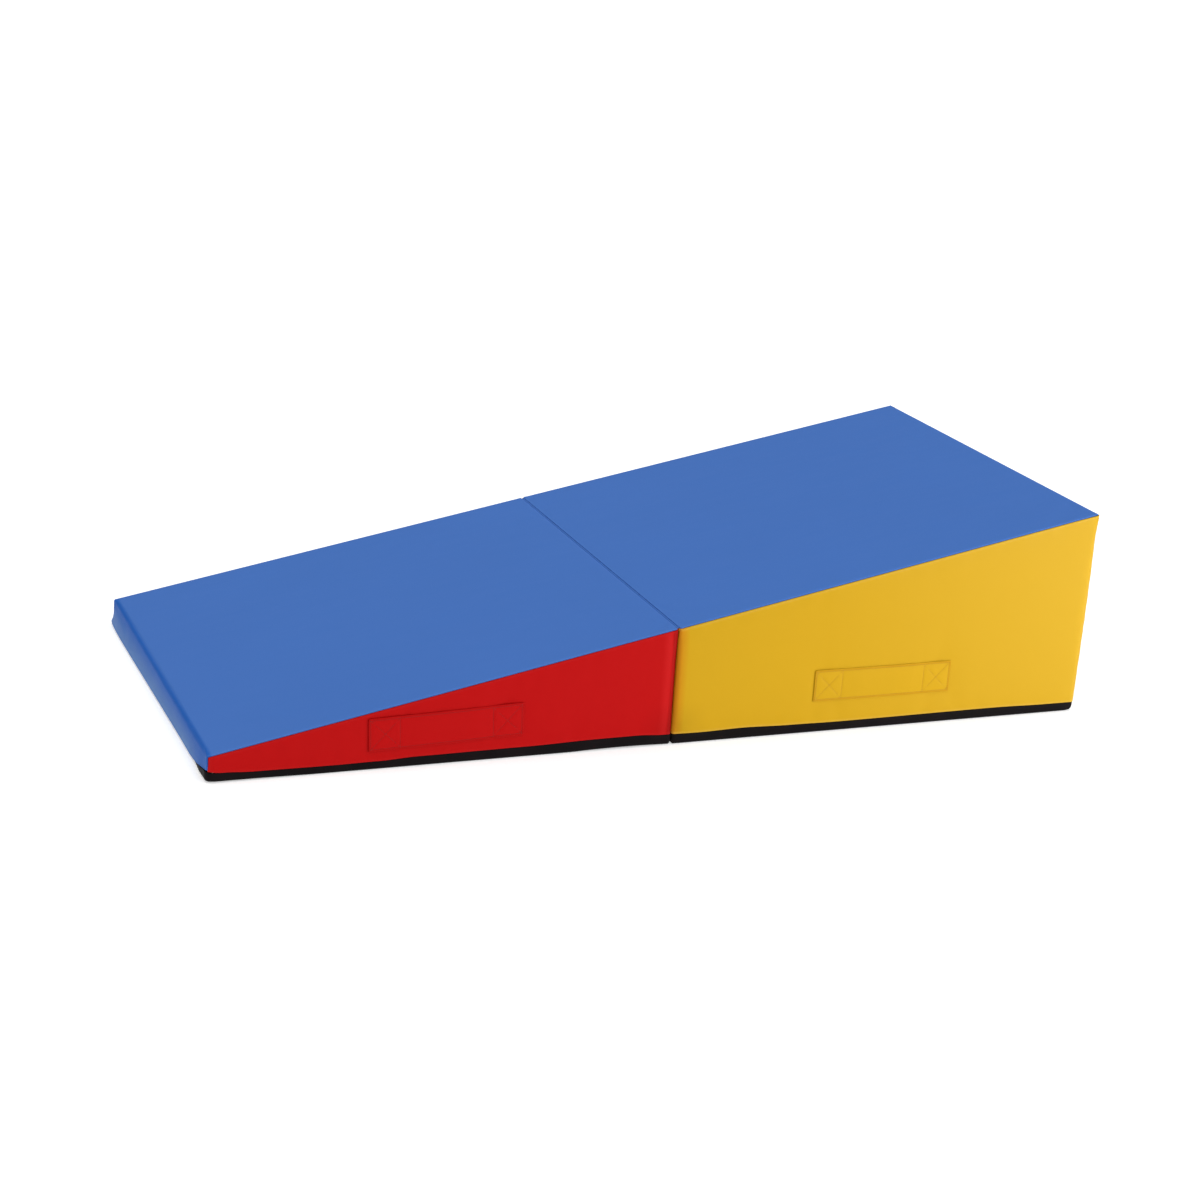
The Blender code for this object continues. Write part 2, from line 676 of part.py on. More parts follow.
def section(prefix, side, band_material, handle_at, handle_tilt, rebate):
    """All the pieces of one section: cover, base, foam, handles and zip."""
    before = set(parts.objects)
    cover = low_top_cover if side < 0 else high_top_cover
    cover(prefix + "_top_cover", blue_vinyl)
    band_panel(prefix + "_front_side", side, "front", band_material)
    rear = band_panel(prefix + "_rear_side", side, "rear", band_material)
    band_panel(prefix + "_hinge_wall", side, "hinge", band_material)
    if side > 0:
        band_panel(prefix + "_end_wall", side, "end", band_material)
    base_tray(prefix + "_base", side, black_grip)
    add_boolean(rear, "DIFFERENCE", zip_slot(prefix + "_zip_slot", side))
    boards = foam_boards(prefix, side, rebate, white_foam)
    add_boolean(boards[0], "DIFFERENCE", zip_recess(prefix + "_zip_recess", side))
    handle(prefix + "_front_handle", handle_at, handle_tilt, -1, band_material)
    handle(prefix + "_rear_handle", handle_at, handle_tilt, 1, band_material)
    near, far = zip_ends(side)
    zip_tapes(prefix, side, zip_cloth)
    zip_chain(prefix + "_zip_chain", side, zip_nylon)
    zip_stop(prefix + "_zip_hinge_stop", near + side * CLEARANCE, side, nickel)
    zip_stop(prefix + "_zip_far_stop", far - side * (STOP_LENGTH + CLEARANCE), side, nickel)
    slider = zip_slider(prefix + "_zip_slider", side, nickel)
    pull = zip_pull(prefix + "_zip_pull", side, nickel)
    pieces = [thing for thing in parts.objects if thing not in before and thing != pull]
    parent_all([pull], slider)
    return pieces


rebate = strip_rebate()
low_pieces = section("low", -1, red_vinyl, LOW_HANDLE_AT, LOW_HANDLE_TILT, rebate)
section("high", 1, yellow_vinyl, HIGH_HANDLE_AT, HIGH_HANDLE_TILT, rebate)
hinge_strip("hinge_strip", blue_vinyl)

fold_axis = bpy.data.objects.new("fold_axis", None)
fold_axis.location = (0, 0, PIVOT_HEIGHT)
fold_axis.rotation_euler = (pi / 2, 0, 0)
parts.objects.link(fold_axis)
parent_all(low_pieces, fold_axis)

print("slope %.2f degrees, hinge %.4f m, pivot %.4f m" % (degrees(SLOPE_ANGLE), HINGE_HEIGHT, PIVOT_HEIGHT))
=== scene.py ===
"""The looks of a folding gymnastics wedge mat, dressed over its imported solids.

Frame: X runs along the mat from the thin end (-X) to the tall end (+X), the photographed front is at -Y, and
Z is up from the floor. Sizes are metres.
"""

from math import atan, cos, pi, radians, sin, sqrt, tan

import bmesh
import bpy
import numpy as np
from mathutils import Matrix, Vector


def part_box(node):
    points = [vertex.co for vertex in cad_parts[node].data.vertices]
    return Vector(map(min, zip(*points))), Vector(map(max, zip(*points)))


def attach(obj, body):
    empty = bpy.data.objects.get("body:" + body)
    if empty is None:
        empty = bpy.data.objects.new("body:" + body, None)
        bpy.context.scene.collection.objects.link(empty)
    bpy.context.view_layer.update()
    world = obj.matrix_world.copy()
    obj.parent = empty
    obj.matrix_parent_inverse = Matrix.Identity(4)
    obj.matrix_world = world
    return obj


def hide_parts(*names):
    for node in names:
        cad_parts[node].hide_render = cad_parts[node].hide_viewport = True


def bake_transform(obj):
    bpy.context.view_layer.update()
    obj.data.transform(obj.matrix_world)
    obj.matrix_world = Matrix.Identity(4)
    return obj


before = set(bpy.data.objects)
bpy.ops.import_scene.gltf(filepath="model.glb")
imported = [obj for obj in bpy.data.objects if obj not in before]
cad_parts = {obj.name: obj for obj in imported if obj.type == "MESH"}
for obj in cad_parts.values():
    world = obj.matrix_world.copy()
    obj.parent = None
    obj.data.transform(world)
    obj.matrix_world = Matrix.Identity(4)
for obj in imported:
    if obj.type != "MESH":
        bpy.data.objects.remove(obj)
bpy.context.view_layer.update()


# The camera stands where the photograph's edges put it: 4.3 m off, a little to the left of the mat's middle,
# looking down at 18 degrees, with a slight roll.
CAMERA_AT = Vector((-1.524, -3.756, 1.455))
CAMERA_AZIMUTH = radians(-22.29)
CAMERA_ELEVATION = radians(18.19)
CAMERA_ROLL = radians(3.79)


def put(name, data):
    """Adds an object to the scene."""
    thing = bpy.data.objects.new(name, data)
    bpy.context.scene.collection.objects.link(thing)
    return thing


back = Vector((
    sin(CAMERA_AZIMUTH) * cos(CAMERA_ELEVATION),
    -cos(CAMERA_AZIMUTH) * cos(CAMERA_ELEVATION),
    sin(CAMERA_ELEVATION),
))
right = (-back).cross(Vector((0, 0, 1))).normalized()
up = right.cross(-back)
rolled_right = right * cos(CAMERA_ROLL) + up * sin(CAMERA_ROLL)
rolled_up = up * cos(CAMERA_ROLL) - right * sin(CAMERA_ROLL)
lens = bpy.data.cameras.new("camera")
lens.sensor_width = 36.0
lens.lens = 73.34
lens.clip_end = 60.0
camera = put("camera", lens)
turn = Matrix((rolled_right, rolled_up, back)).transposed().to_4x4()
camera.matrix_world = Matrix.Translation(CAMERA_AT) @ turn
bpy.context.scene.camera = camera


# Materials are written as sums: a Field stands for a socket, and arithmetic on it adds nodes to its material.
class Field:
    """A socket of a material's node tree that can be added, multiplied and mixed."""

    def __init__(self, tree, socket):
        self.tree = tree
        self.socket = socket

    def maths(self, operation, *others):
        return self.tree.add("ShaderNodeMath", {"operation": operation}, (self, *others))[0]

    def __add__(self, other):
        return self.maths("ADD", other)

    def __mul__(self, other):
        return self.maths("MULTIPLY", other)

    def __rsub__(self, other):
        return (self * -1.0) + other

    def between(self, low, high):
        """0 at low and 1 at high, and straight between them."""
        inputs = {"Value": self, "From Min": low, "From Max": high}
        return self.tree.add("ShaderNodeMapRange", {"clamp": True}, inputs)[0]


class Tree:
    """A node tree that nodes are added to in one call each."""

    def __init__(self, tree):
        self.nodes = tree.nodes
        self.links = tree.links

    def add(self, kind, settings, inputs):
        """Adds a node, sets it, feeds its inputs, and returns its outputs as Fields."""
        node = self.nodes.new(kind)
        for setting, value in settings.items():
            setattr(node, setting, value)
        pairs = inputs.items() if isinstance(inputs, dict) else enumerate(inputs)
        for key, value in pairs:
            self.feed(node.inputs[key], value)
        return [Field(self, socket) for socket in node.outputs if socket.enabled]

    def feed(self, socket, value):
        if isinstance(value, Field):
            self.links.new(value.socket, socket)
        else:
            socket.default_value = value


class Finish(Tree):
    """One material: its Principled BSDF, its nodes and their links."""

    def __init__(self, name, **constants):
        self.material = bpy.data.materials.new(name)
        self.material.use_nodes = True
        super().__init__(self.material.node_tree)
        self.shader = self.nodes["Principled BSDF"]
        for socket, value in constants.items():
            self.shader.inputs[socket.replace("_", " ")].default_value = value

    def place(self, scale=(1.0, 1.0, 1.0)):
        """Object coordinates, in metres, stretched by a scale."""
        spot = self.add("ShaderNodeTexCoord", {}, {})[3]
        return self.add("ShaderNodeMapping", {}, {"Vector": spot, "Scale": scale})[0]

    def axes(self):
        """The three object coordinates, each on its own."""
        return self.add("ShaderNodeSeparateXYZ", {}, (self.place(),))

    def noise(self, scale, detail=2.0, place=None):
        inputs = {"Vector": place or self.place(), "Scale": scale, "Detail": detail}
        return self.add("ShaderNodeTexNoise", {}, inputs)[0]

    def cells(self, scale, feature="F1"):
        return self.add("ShaderNodeTexVoronoi", {"feature": feature}, {"Vector": self.place(), "Scale": scale})[0]

    def wave(self, direction, scale, distortion):
        inputs = {"Vector": self.place(), "Scale": scale, "Distortion": distortion}
        return self.add("ShaderNodeTexWave", {"bands_direction": direction}, inputs)[1]

    def attribute(self, name):
        """A number that a mesh carries at each of its points."""
        return self.add("ShaderNodeAttribute", {"attribute_name": name}, {})[2]

    def blend(self, share, first, second):
        """Goes from one colour to another as the share goes from 0 to 1."""
        node = self.nodes.new("ShaderNodeMix")
        node.data_type = "RGBA"
        self.feed(node.inputs[0], share)
        for socket, colour in ((node.inputs[6], first), (node.inputs[7], second)):
            self.feed(socket, colour if isinstance(colour, Field) else (*colour, 1.0))
        return Field(self, node.outputs[2])

    def bump(self, height, distance):
        """Raises the surface by a height field, where 1 stands for a distance in metres."""
        node = self.add("ShaderNodeBump", {}, {"Height": height, "Distance": distance, "Strength": 1.0})
        self.feed(self.shader.inputs["Normal"], node[0])

    def colour(self, value):
        self.feed(self.shader.inputs["Base Color"], value)

    def rough(self, value):
        self.feed(self.shader.inputs["Roughness"], value)


def shade(colour, amount):
    """A colour made darker (below 1) or lighter (above 1)."""
    return tuple(min(c * amount, 1.0) for c in colour)


# The cover is PVC-coated polyester: smooth and satin, with a fine leather grain pressed in, and slightly cloudy
# where it has been wiped and knelt on. Its seams hold a little dust, and its folded lips are rubbed lighter, the
# yellow's also paler with a painted highlight. Painted shade, painted highlights and painted reflections lie on the
# flap, at the fold and along the straps' edges.
BLUE = (0.0615, 0.1700, 0.5120)
SHADED_FLAP_BLUE = (0.021, 0.118, 0.464)
FLOOR_REFLECTION_BLUE = (0.126, 0.252, 0.528)
RED = (0.430, 0.0022, 0.0025)
YELLOW = (0.522, 0.301, 0.0076)
BLACK = (0.0045, 0.0032, 0.0036)
ROLL = (-0.7525, -0.7575)
REFLECTION_HEIGHT = (0.037, 0.009)
REFLECTION_ACROSS = (-0.350, -0.255)
FADE = (0.25, 0.76)
WALL_EDGE = (0.3720, 0.3750)
HIGHLIGHT_OUTER = (0.0260, 0.0160)
HIGHLIGHT_INNER = (0.0080, 0.0120)
LOW_FOLD_REACH = (0.060, 0.006)
LOW_FOLD_HEIGHT = (0.075, 0.035)
LOW_FOLD_DARKENING = 0.28
GROOVE = (-0.0032, -0.0012)


def vinyl(name, colour, shine, flap=False, fold_shade=None, fold_highlight=0.0, edge_shade=None, faded=None, lip_highlight=0.006):
    """The cover's vinyl. The sheet that rolls over the thin end carries painted shade there, and a lighter painted
    reflection of the floor low down toward its rear.

    fold_shade is the colour of the painted shade that a side panel has where it turns in at the fold (on the yellow
    an orange painted reflection of the red), and how far from the fold it starts and is full; the wall between the
    panels is left plain. fold_highlight is how strong a painted highlight the bend beside it has. edge_shade is the
    colour of a painted shadow along a strap's edges, and faded that of a panel at the tall end. lip_highlight is how
    whitish the lips at the seams are: rubbed a little lighter, and a painted highlight where it is large.
    """
    finish = Finish(name, Specular_IOR_Level=shine)
    edge = finish.attribute("edge")
    cloud = finish.noise(5.0, 4.0).between(0.30, 0.70)
    fine = finish.noise(240.0, 3.0).between(0.25, 0.75)
    lip = edge.between(-0.0012, -0.0002) * (1.0 - edge.between(0.0004, 0.0040))
    groove = 1.0 - edge.between(*GROOVE)
    tone = finish.blend(cloud, shade(colour, 0.990), shade(colour, 1.010))
    # The flap: painted shade where the sheet rolls over the thin end, and low down toward its rear a lighter painted
    # reflection of the floor.
    if flap:
        along, across, up_from_floor = finish.axes()
        floor_reflection = up_from_floor.between(*REFLECTION_HEIGHT) * across.between(*REFLECTION_ACROSS) * (cloud * 0.3 + 0.7)
        tone = finish.blend(along.between(*ROLL), tone, finish.blend(floor_reflection, SHADED_FLAP_BLUE, FLOOR_REFLECTION_BLUE))
    if fold_shade:
        along, across, up_from_floor = finish.axes()
        outside = across.maths("ABSOLUTE").between(*WALL_EDGE)
        if faded:
            tone = finish.blend(along.between(*FADE), tone, faded)
        from_fold = along.maths("ABSOLUTE")
        # A painted highlight on the bend beside the fold, then painted shade where the panel turns in at the fold:
        # dark on the red, orange on the yellow as a painted reflection of the red beside it.
        bend = from_fold.between(*HIGHLIGHT_OUTER) * from_fold.between(*HIGHLIGHT_INNER)
        tone = finish.blend(bend * fold_highlight, tone, tuple(c * 1.2 + 0.008 for c in colour))
        tone = finish.blend(from_fold.between(*fold_shade[1]) * outside, tone, fold_shade[0])
        # Darker low down near the fold.
        low_fold_dark = from_fold.between(*LOW_FOLD_REACH) * up_from_floor.between(*LOW_FOLD_HEIGHT)
        tone = finish.blend(low_fold_dark * outside * LOW_FOLD_DARKENING, tone, shade(colour, 0.45))
    # The lips are rubbed a little lighter, and the yellow's are paler still with a painted highlight; a strap's lips
    # take a painted shadow instead.
    rubbed = tuple(c * 1.04 + lip_highlight for c in colour)
    tone = finish.blend(lip * (fine * 0.5 + 0.5) * 0.6, tone, edge_shade or rubbed)
    finish.colour(finish.blend(groove * 0.55, tone, shade(colour, 0.35)))
    wiped = finish.noise(11.0, 5.0, finish.place((1.0, 2.6, 1.0))).between(0.35, 0.75)
    finish.rough(wiped * 0.07 + fine * 0.04 + 0.42)
    leather = finish.cells(620.0, "DISTANCE_TO_EDGE").between(0.0, 0.28)
    pores = finish.cells(1500.0)
    finish.bump(leather * 0.7 + pores * 0.3 + finish.noise(90.0, 2.0) * 0.5, 0.00006)
    return finish.material


blue_vinyl = vinyl("blue_vinyl_grain", BLUE, 0.03)
flap_vinyl = vinyl("blue_vinyl_flap", BLUE, 0.03, flap=True)
# Painted shade at the fold on both side panels, orange on the yellow as a painted reflection of the red, and a
# painted highlight beside it on the red.
red_vinyl = vinyl("red_vinyl_grain", RED, 0.06, fold_shade=((0.30, 0.0014, 0.0011), (0.0100, 0.0055)), fold_highlight=0.5)
yellow_vinyl = vinyl(
    "yellow_vinyl_grain", YELLOW, 0.07, fold_shade=((0.53, 0.190, 0.0040), (0.0200, 0.0020)),
    # The yellow's lips are paler with a painted highlight.
    faded=(0.505, 0.300, 0.014), lip_highlight=0.045,
)
# The straps' edges carry a painted shadow along them.
red_strap = vinyl("red_strap_vinyl", RED, 0.06, edge_shade=(0.33, 0.0016, 0.0016))
yellow_strap = vinyl("yellow_strap_vinyl", YELLOW, 0.07, edge_shade=(0.40, 0.170, 0.0030))


# Each cover panel is a flat cut of vinyl whose edges turn in at the seams. Its outer face is a grid of points:
# the rows near an edge follow the edge's profile, and the rest spread over the panel.
VINYL = 0.0010
LIP_STEPS = 6
ZONE = 0.0115
SEWN_GAP = 0.00006


def profile(turned, tangent, raw_length):
    """Rows of (inset, depth, distance along the face) from the raw end of an edge to the flat of its panel."""
    radius, turn = turned
    rows = []
    for step in range(LIP_STEPS + 1):
        angle = turn * (1 - step / LIP_STEPS)
        rows.append((tangent - radius * sin(angle), radius * (1 - cos(angle)), -radius * angle))
    inset, depth, along = rows[0]
    rows.insert(0, (inset - cos(turn) * raw_length, depth + sin(turn) * raw_length, along - raw_length))
    for share in (0.2, 0.5, 1.0):
        inset = tangent + (ZONE - tangent) * share
        rows.append((inset, 0.0, inset - tangent))
    return rows


def seam(degrees_between, radius=0.0015, raw_length=0.0038):
    """The lip of a panel that is sewn to a neighbour, whose outer faces stand at an angle to each other inside."""
    angle = radians(degrees_between)
    return profile((radius, pi - angle / 2), radius / tan(angle / 4) + SEWN_GAP, raw_length)


def flat_seam():
    """The lip of a panel that is sewn to a neighbour in its own plane."""
    return seam(180, 0.0012)


def hem(raw_length=0.0080):
    """An edge that is turned right under."""
    return profile((0.0012, pi), 0.0012, raw_length)


def cut():
    """An edge that is cut off flat."""
    count = LIP_STEPS + 5
    return [(ZONE * n / (count - 1), 0.0, ZONE * n / (count - 1)) for n in range(count)]


def spread(start, end, most=0.0105):
    """Places from start to end, close together at both ends and further apart between them."""
    gaps = []
    step = 0.0022
    while 2 * (sum(gaps) + step) < end - start and step < most:
        gaps.append(step)
        step *= 1.5
    rest = end - start - 2 * sum(gaps)
    count = max(1, round(rest / most))
    steps = gaps + [rest / count] * count + gaps[::-1]
    scale = (end - start) / sum(steps)
    return [start + scale * sum(steps[:n]) for n in range(len(steps) + 1)]


def corner_reach(inset, radius, angle):
    """How far from a zone's inner corner a ring lies in one direction, where its corner is rounded."""
    side = ZONE - inset
    bend = min(max(radius - inset, 0.0), side)
    straight = side - bend
    c, s = cos(angle), sin(angle)
    if s * side < straight * c:
        return side / c
    if c * side < straight * s:
        return side / s
    return straight * (c + s) + sqrt(max((straight * (c + s)) ** 2 - 2 * straight ** 2 + bend ** 2, 0.0))


def grid_points(columns, rows_at, edges, radii):
    """The flat places (u, v, depth, distance from the edge) of a panel's points, as a grid.

    columns are the places across, from zone to zone, with the panel's own width a zone further on. rows_at gives
    the places up the panel at a place across. edges are the profiles on the left, right, bottom and top, and
    radii are the corners' on the left bottom, right bottom, left top and right top.
    """
    left, right_edge, bottom, top = edges
    deep = len(left) - 1
    width = columns[-1] + ZONE
    count_u = len(columns) + 2 * deep - 1
    count_v = len(rows_at(width / 2)) + 2 * deep - 1
    grid = []
    for i in range(count_u):
        line = []
        ki = min(i, count_u - 1 - i, deep)
        on_left = i < count_u / 2
        side_rows = left if on_left else right_edge
        for j in range(count_v):
            kj = min(j, count_v - 1 - j, deep)
            low = j < count_v / 2
            end_rows = bottom if low else top
            inset_u, depth_u, along_u = side_rows[ki]
            inset_v, depth_v, along_v = end_rows[kj]
            du, dv, depth, along = inset_u, inset_v, max(depth_u, depth_v), min(along_u, along_v)
            if ki < deep and kj < deep:
                p, q = deep - ki, deep - kj
                angle = pi / 4 * q / p if p >= q else pi / 2 - pi / 4 * p / q
                k = min(ki, kj)
                share = angle * 2 / pi
                inset, depth, along = (a * (1 - share) + b * share for a, b in zip(side_rows[k], end_rows[k]))
                radius = radii[(0 if low else 2) + (0 if on_left else 1)]
                reach = corner_reach(inset, radius, angle)
                du, dv = ZONE - reach * cos(angle), ZONE - reach * sin(angle)
            if ki < deep:
                u = du if on_left else width - du
            else:
                u = columns[i - deep]
            places = rows_at(u)
            if kj < deep:
                v = places[0] - ZONE + dv if low else places[-1] + ZONE - dv
            else:
                v = places[j - deep]
            if ki == deep and kj == deep:
                along = min(u, width - u, v - places[0] + ZONE, places[-1] + ZONE - v)
            line.append((u, v, depth, along))
        grid.append(line)
    return grid


def surface(name, flat, place):
    """The outer face of a sheet as an open mesh. place gives the point and the outward normal at (u, v)."""
    tall = len(flat[0])
    points, normals, edge = [], [], []
    for line in flat:
        for u, v, depth, along in line:
            point, normal = place(u, v)
            points.append(point - normal * depth)
            normals.append(normal)
            edge.append(along)
    faces = [
        (i * tall + j, (i + 1) * tall + j, (i + 1) * tall + j + 1, i * tall + j + 1)
        for i in range(len(flat) - 1) for j in range(tall - 1)
    ]
    middle = faces[(len(flat) // 2) * (tall - 1) + tall // 2]
    a, b, c, _ = (points[n] for n in middle)
    if (b - a).cross(c - a).dot(normals[middle[0]]) < 0:
        faces = [face[::-1] for face in faces]
    mesh = bpy.data.meshes.new(name)
    mesh.from_pydata(points, [], faces)
    attribute = mesh.attributes.new("edge", "FLOAT", "POINT")
    attribute.data.foreach_set("value", np.array(edge, np.float32))
    return put(name, mesh)


def panel(name, columns, rows_at, edges, radii, place):
    """A panel's outer face, with its edges turned in by their profiles."""
    return surface(name, grid_points(columns, rows_at, edges, radii), place)


CLOTH = {
    "quality": 6, "mass": 0.004, "air_damping": 2.0, "tension_stiffness": 30.0, "compression_stiffness": 30.0,
    "shear_stiffness": 12.0, "bending_stiffness": 1.5, "vertex_group_mass": "sewn", "shrink_min": -0.002,
    "use_pressure": True, "uniform_pressure_force": 1.0,
}
CLOTH_FRAMES = 20


def vertex_values(mesh, what):
    """The places or normals of a mesh's vertices, one row each."""
    values = np.zeros(len(mesh.vertices) * 3)
    mesh.vertices.foreach_get(what, values)
    return values.reshape(-1, 3)


def puff(sheet, cap, held=()):
    """Lets the panel swell a little over its foam, held at its seams, and keeps the cloth where it came to.

    cap is the most that it may swell. held are the boxes (x from and to, z from and to) of a strap's sewn feet.
    """
    mesh = sheet.data
    edge = np.zeros(len(mesh.vertices), np.float32)
    mesh.attributes["edge"].data.foreach_get("value", edge)
    start = vertex_values(mesh, "co")
    pins = sheet.vertex_groups.new(name="sewn")
    sewn = edge < 0.0012
    for x0, x1, z0, z1 in held:
        sewn |= (start[:, 0] > x0) & (start[:, 0] < x1) & (start[:, 2] > z0) & (start[:, 2] < z1)
    for index in np.nonzero(sewn)[0]:
        pins.add([int(index)], 1.0, "REPLACE")
    cloth = sheet.modifiers.new("cloth", "CLOTH")
    for setting, value in CLOTH.items():
        setattr(cloth.settings, setting, value)
    cloth.settings.effector_weights.gravity = 0.0
    cloth.collision_settings.use_collision = False
    cloth.point_cache.frame_start = 1
    cloth.point_cache.frame_end = CLOTH_FRAMES
    scene = bpy.context.scene
    for frame_number in range(1, CLOTH_FRAMES + 1):
        scene.frame_set(frame_number)
    end = vertex_values(sheet.evaluated_get(bpy.context.evaluated_depsgraph_get()).data, "co")
    sheet.modifiers.remove(cloth)
    sheet.vertex_groups.clear()
    scene.frame_set(1)
    normal = vertex_values(mesh, "normal")
    out = ((end - start) * normal).sum(1)
    room = np.minimum(cap, 0.0003 + 0.08 * (np.abs(start[:, 0]) - GAP))
    out = room * np.tanh(out / room)
    mesh.vertices.foreach_set("co", (start + normal * out[:, None]).ravel())
    mesh.update()
    return sheet


def bake(thing):
    """Turns a piece with modifiers into a plain mesh."""
    shown = thing.evaluated_get(bpy.context.evaluated_depsgraph_get())
    mesh = bpy.data.meshes.new_from_object(shown)
    thing.modifiers.clear()
    thing.data = mesh
    mesh.name = thing.name
    return thing


def thicken(sheet, thickness=VINYL):
    """Gives a panel its thickness, inward, as a closed mesh."""
    shell = sheet.modifiers.new("thickness", "SOLIDIFY")
    shell.thickness = thickness
    shell.offset = -1.0
    bake(sheet)
    sheet.data.shade_smooth()
    return sheet


def hand_over(thing, body, slot, *nodes):
    """Says which body a finished piece rides on, and hides the solids it stands for. The slot is not used."""
    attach(thing, body)
    if nodes:
        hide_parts(*nodes)


def dress(thing, body, slot, material, *nodes):
    """Gives a finished piece its material and hands it over."""
    thing.data.materials.clear()
    thing.data.materials.append(material)
    hand_over(thing, body, slot, *nodes)


def cover(sheet, swell, prefix, slot, material, node, held=()):
    """Finishes a panel of the cover: its swell, its thickness, and what it rides on and stands for."""
    puff(sheet, swell, held)
    thicken(sheet)
    dress(sheet, prefix + "_section", slot, material, prefix + node)


# The sizes that every panel shares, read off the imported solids.
LOW_BASE_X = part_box("low_base")[0].x
high_low, high_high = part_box("high_base")
HALF_WIDTH = high_high.y
FAR = high_high.x
SOLID_GAP = high_low.x
GAP = 0.0007
RIM = high_high.z
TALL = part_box("high_top_cover")[1].z
THIN_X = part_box("low_top_cover")[0].x
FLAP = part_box("low_top_cover")[0].z
HINGE_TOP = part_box("low_top_cover")[1].z
SLOPE = (TALL - HINGE_TOP) / (FAR + SOLID_GAP)
TILT = atan(SLOPE)
CORNER = 0.0090
CRISP = 0.0030
THIN_ROUND = 0.0080


def top_height(x):
    """How high the top's outer face is at a place along the mat."""
    return HINGE_TOP + SLOPE * (x + SOLID_GAP)


def unit(value):
    """A value held between 0 and 1."""
    return min(max(value, 0.0), 1.0)


def ease(share):
    """A share that starts and stops gently."""
    return (3 - 2 * share) * share ** 2


# The two top covers are blue vinyl. The high one is a flat sheet. The low one also rolls over the thin end and
# hangs down in front of the base as a flap, cut away at its two corners, where the base's rim shows.
slope_out = Vector((-sin(TILT), 0.0, cos(TILT)))
slope_down = Vector((-cos(TILT), 0.0, -sin(TILT)))
low_edge = Vector((-GAP, 0.0, top_height(-GAP)))
FLAP_CORNER = 0.120
FLAP_LIFT = 0.0180
FLAP_FRONT_BULGE = 0.0016
FLAP_REAR_BULGE = 0.0092
TOP_SWELL = 0.0006
TIGHT_REACH = 0.050
ROLL_LEAD = 0.0010
LOW_TOP_SEAM = seam(80, 0.0009, 0.0020)
HIGH_TOP_SEAM = seam(100, 0.0009, 0.0020)


def roll_at(y):
    """The roll over the thin end: its radius and centre, and how far down the sheet it starts and ends.

    It is drawn tight at both sides, where it is sewn to the side panels.
    """
    radius = CRISP + (THIN_ROUND - CRISP) * ease(min((HALF_WIDTH - abs(y)) / TIGHT_REACH, 1.0))
    centre = Vector((THIN_X + radius, 0.0, top_height(THIN_X + radius) - radius / cos(TILT)))
    start = (centre + slope_out * radius - low_edge).length
    return radius, centre, start, start + radius * (pi / 2 - TILT)


def front_corner(y):
    """0 over most of the flap, and 1 at its front corner."""
    return unit((-y - (HALF_WIDTH - FLAP_CORNER)) / FLAP_CORNER)


def hem_lift(y):
    """How much higher the flap's hem runs toward its front corner."""
    return FLAP_LIFT * front_corner(y) ** 1.9


def flap_bulge(y, share):
    """How far the flap hangs off its foam: most at the rear, and little at its front corner, which is sewn down."""
    rearward = max(0.0, (y + 0.20) / (HALF_WIDTH + 0.20)) ** 1.1
    full = FLAP_FRONT_BULGE + (FLAP_REAR_BULGE - FLAP_FRONT_BULGE) * rearward
    free = unit((share - 0.55) / 0.45)
    held = (1.0 - abs(y / HALF_WIDTH) ** 8) * (1.0 - front_corner(y))
    return full * (held * share ** 1.2 + (1.0 - held) * free ** 2 * (0.55 if y > 0 else 0.0))


def on_low_top(u, v):
    """A place on the low cover: u from the front edge to the rear, v from the hinge and over the thin end."""
    y = u - HALF_WIDTH
    radius, centre, start, end = roll_at(y)
    if v <= start:
        point, normal = low_edge + slope_down * v, slope_out
    elif v <= end:
        angle = TILT + (v - start) / radius
        normal = Vector((-sin(angle), 0.0, cos(angle)))
        point = centre + normal * radius
    else:
        share = min((v - end) / (centre.z - FLAP), 1.0)
        normal = Vector((-1.0, 0.0, 0.0))
        point = Vector((THIN_X - flap_bulge(y, share), 0.0, centre.z - (v - end)))
    return Vector((point.x, y, point.z)), normal


slope_places = spread(ZONE, roll_at(0.0)[2] - ROLL_LEAD)


def low_top_rows(u):
    """The places down the low cover: even on the slope, close together over the roll and down the flap."""
    y = u - HALF_WIDTH
    _, centre, start, end = roll_at(y)
    hem_at = end + centre.z - FLAP - hem_lift(y) - ZONE
    scale = (start - ROLL_LEAD - ZONE) / (slope_places[-1] - ZONE)
    rows = [ZONE + (place - ZONE) * scale for place in slope_places]
    rows += [start + (end - start) * n / 6 for n in range(7)]
    rows += [end + (hem_at - end) * n / 7 for n in range(1, 8)]
    return rows


across = spread(ZONE, 2 * HALF_WIDTH - ZONE)
low_top = panel(
    "low_top", across, low_top_rows,
    (seam(90), seam(90), LOW_TOP_SEAM, hem()),
    (CRISP,) * 4, on_low_top,
)
cover(low_top, TOP_SWELL, "low", "blue_vinyl", flap_vinyl, "_top_cover")


def on_high_top(u, v):
    """A place on the high cover: u from the front edge to the rear, v from the hinge up the slope."""
    x = GAP + v * cos(TILT)
    return Vector((x, u - HALF_WIDTH, top_height(x))), slope_out


high_rows = spread(ZONE, (FAR - GAP) / cos(TILT) - ZONE)
high_top = panel(
    "high_top", across, lambda u: high_rows,
    (seam(90), seam(90), HIGH_TOP_SEAM, seam(78)),
    (CRISP,) * 4, on_high_top,
)
cover(high_top, TOP_SWELL, "high", "blue_vinyl", blue_vinyl, "_top_cover")


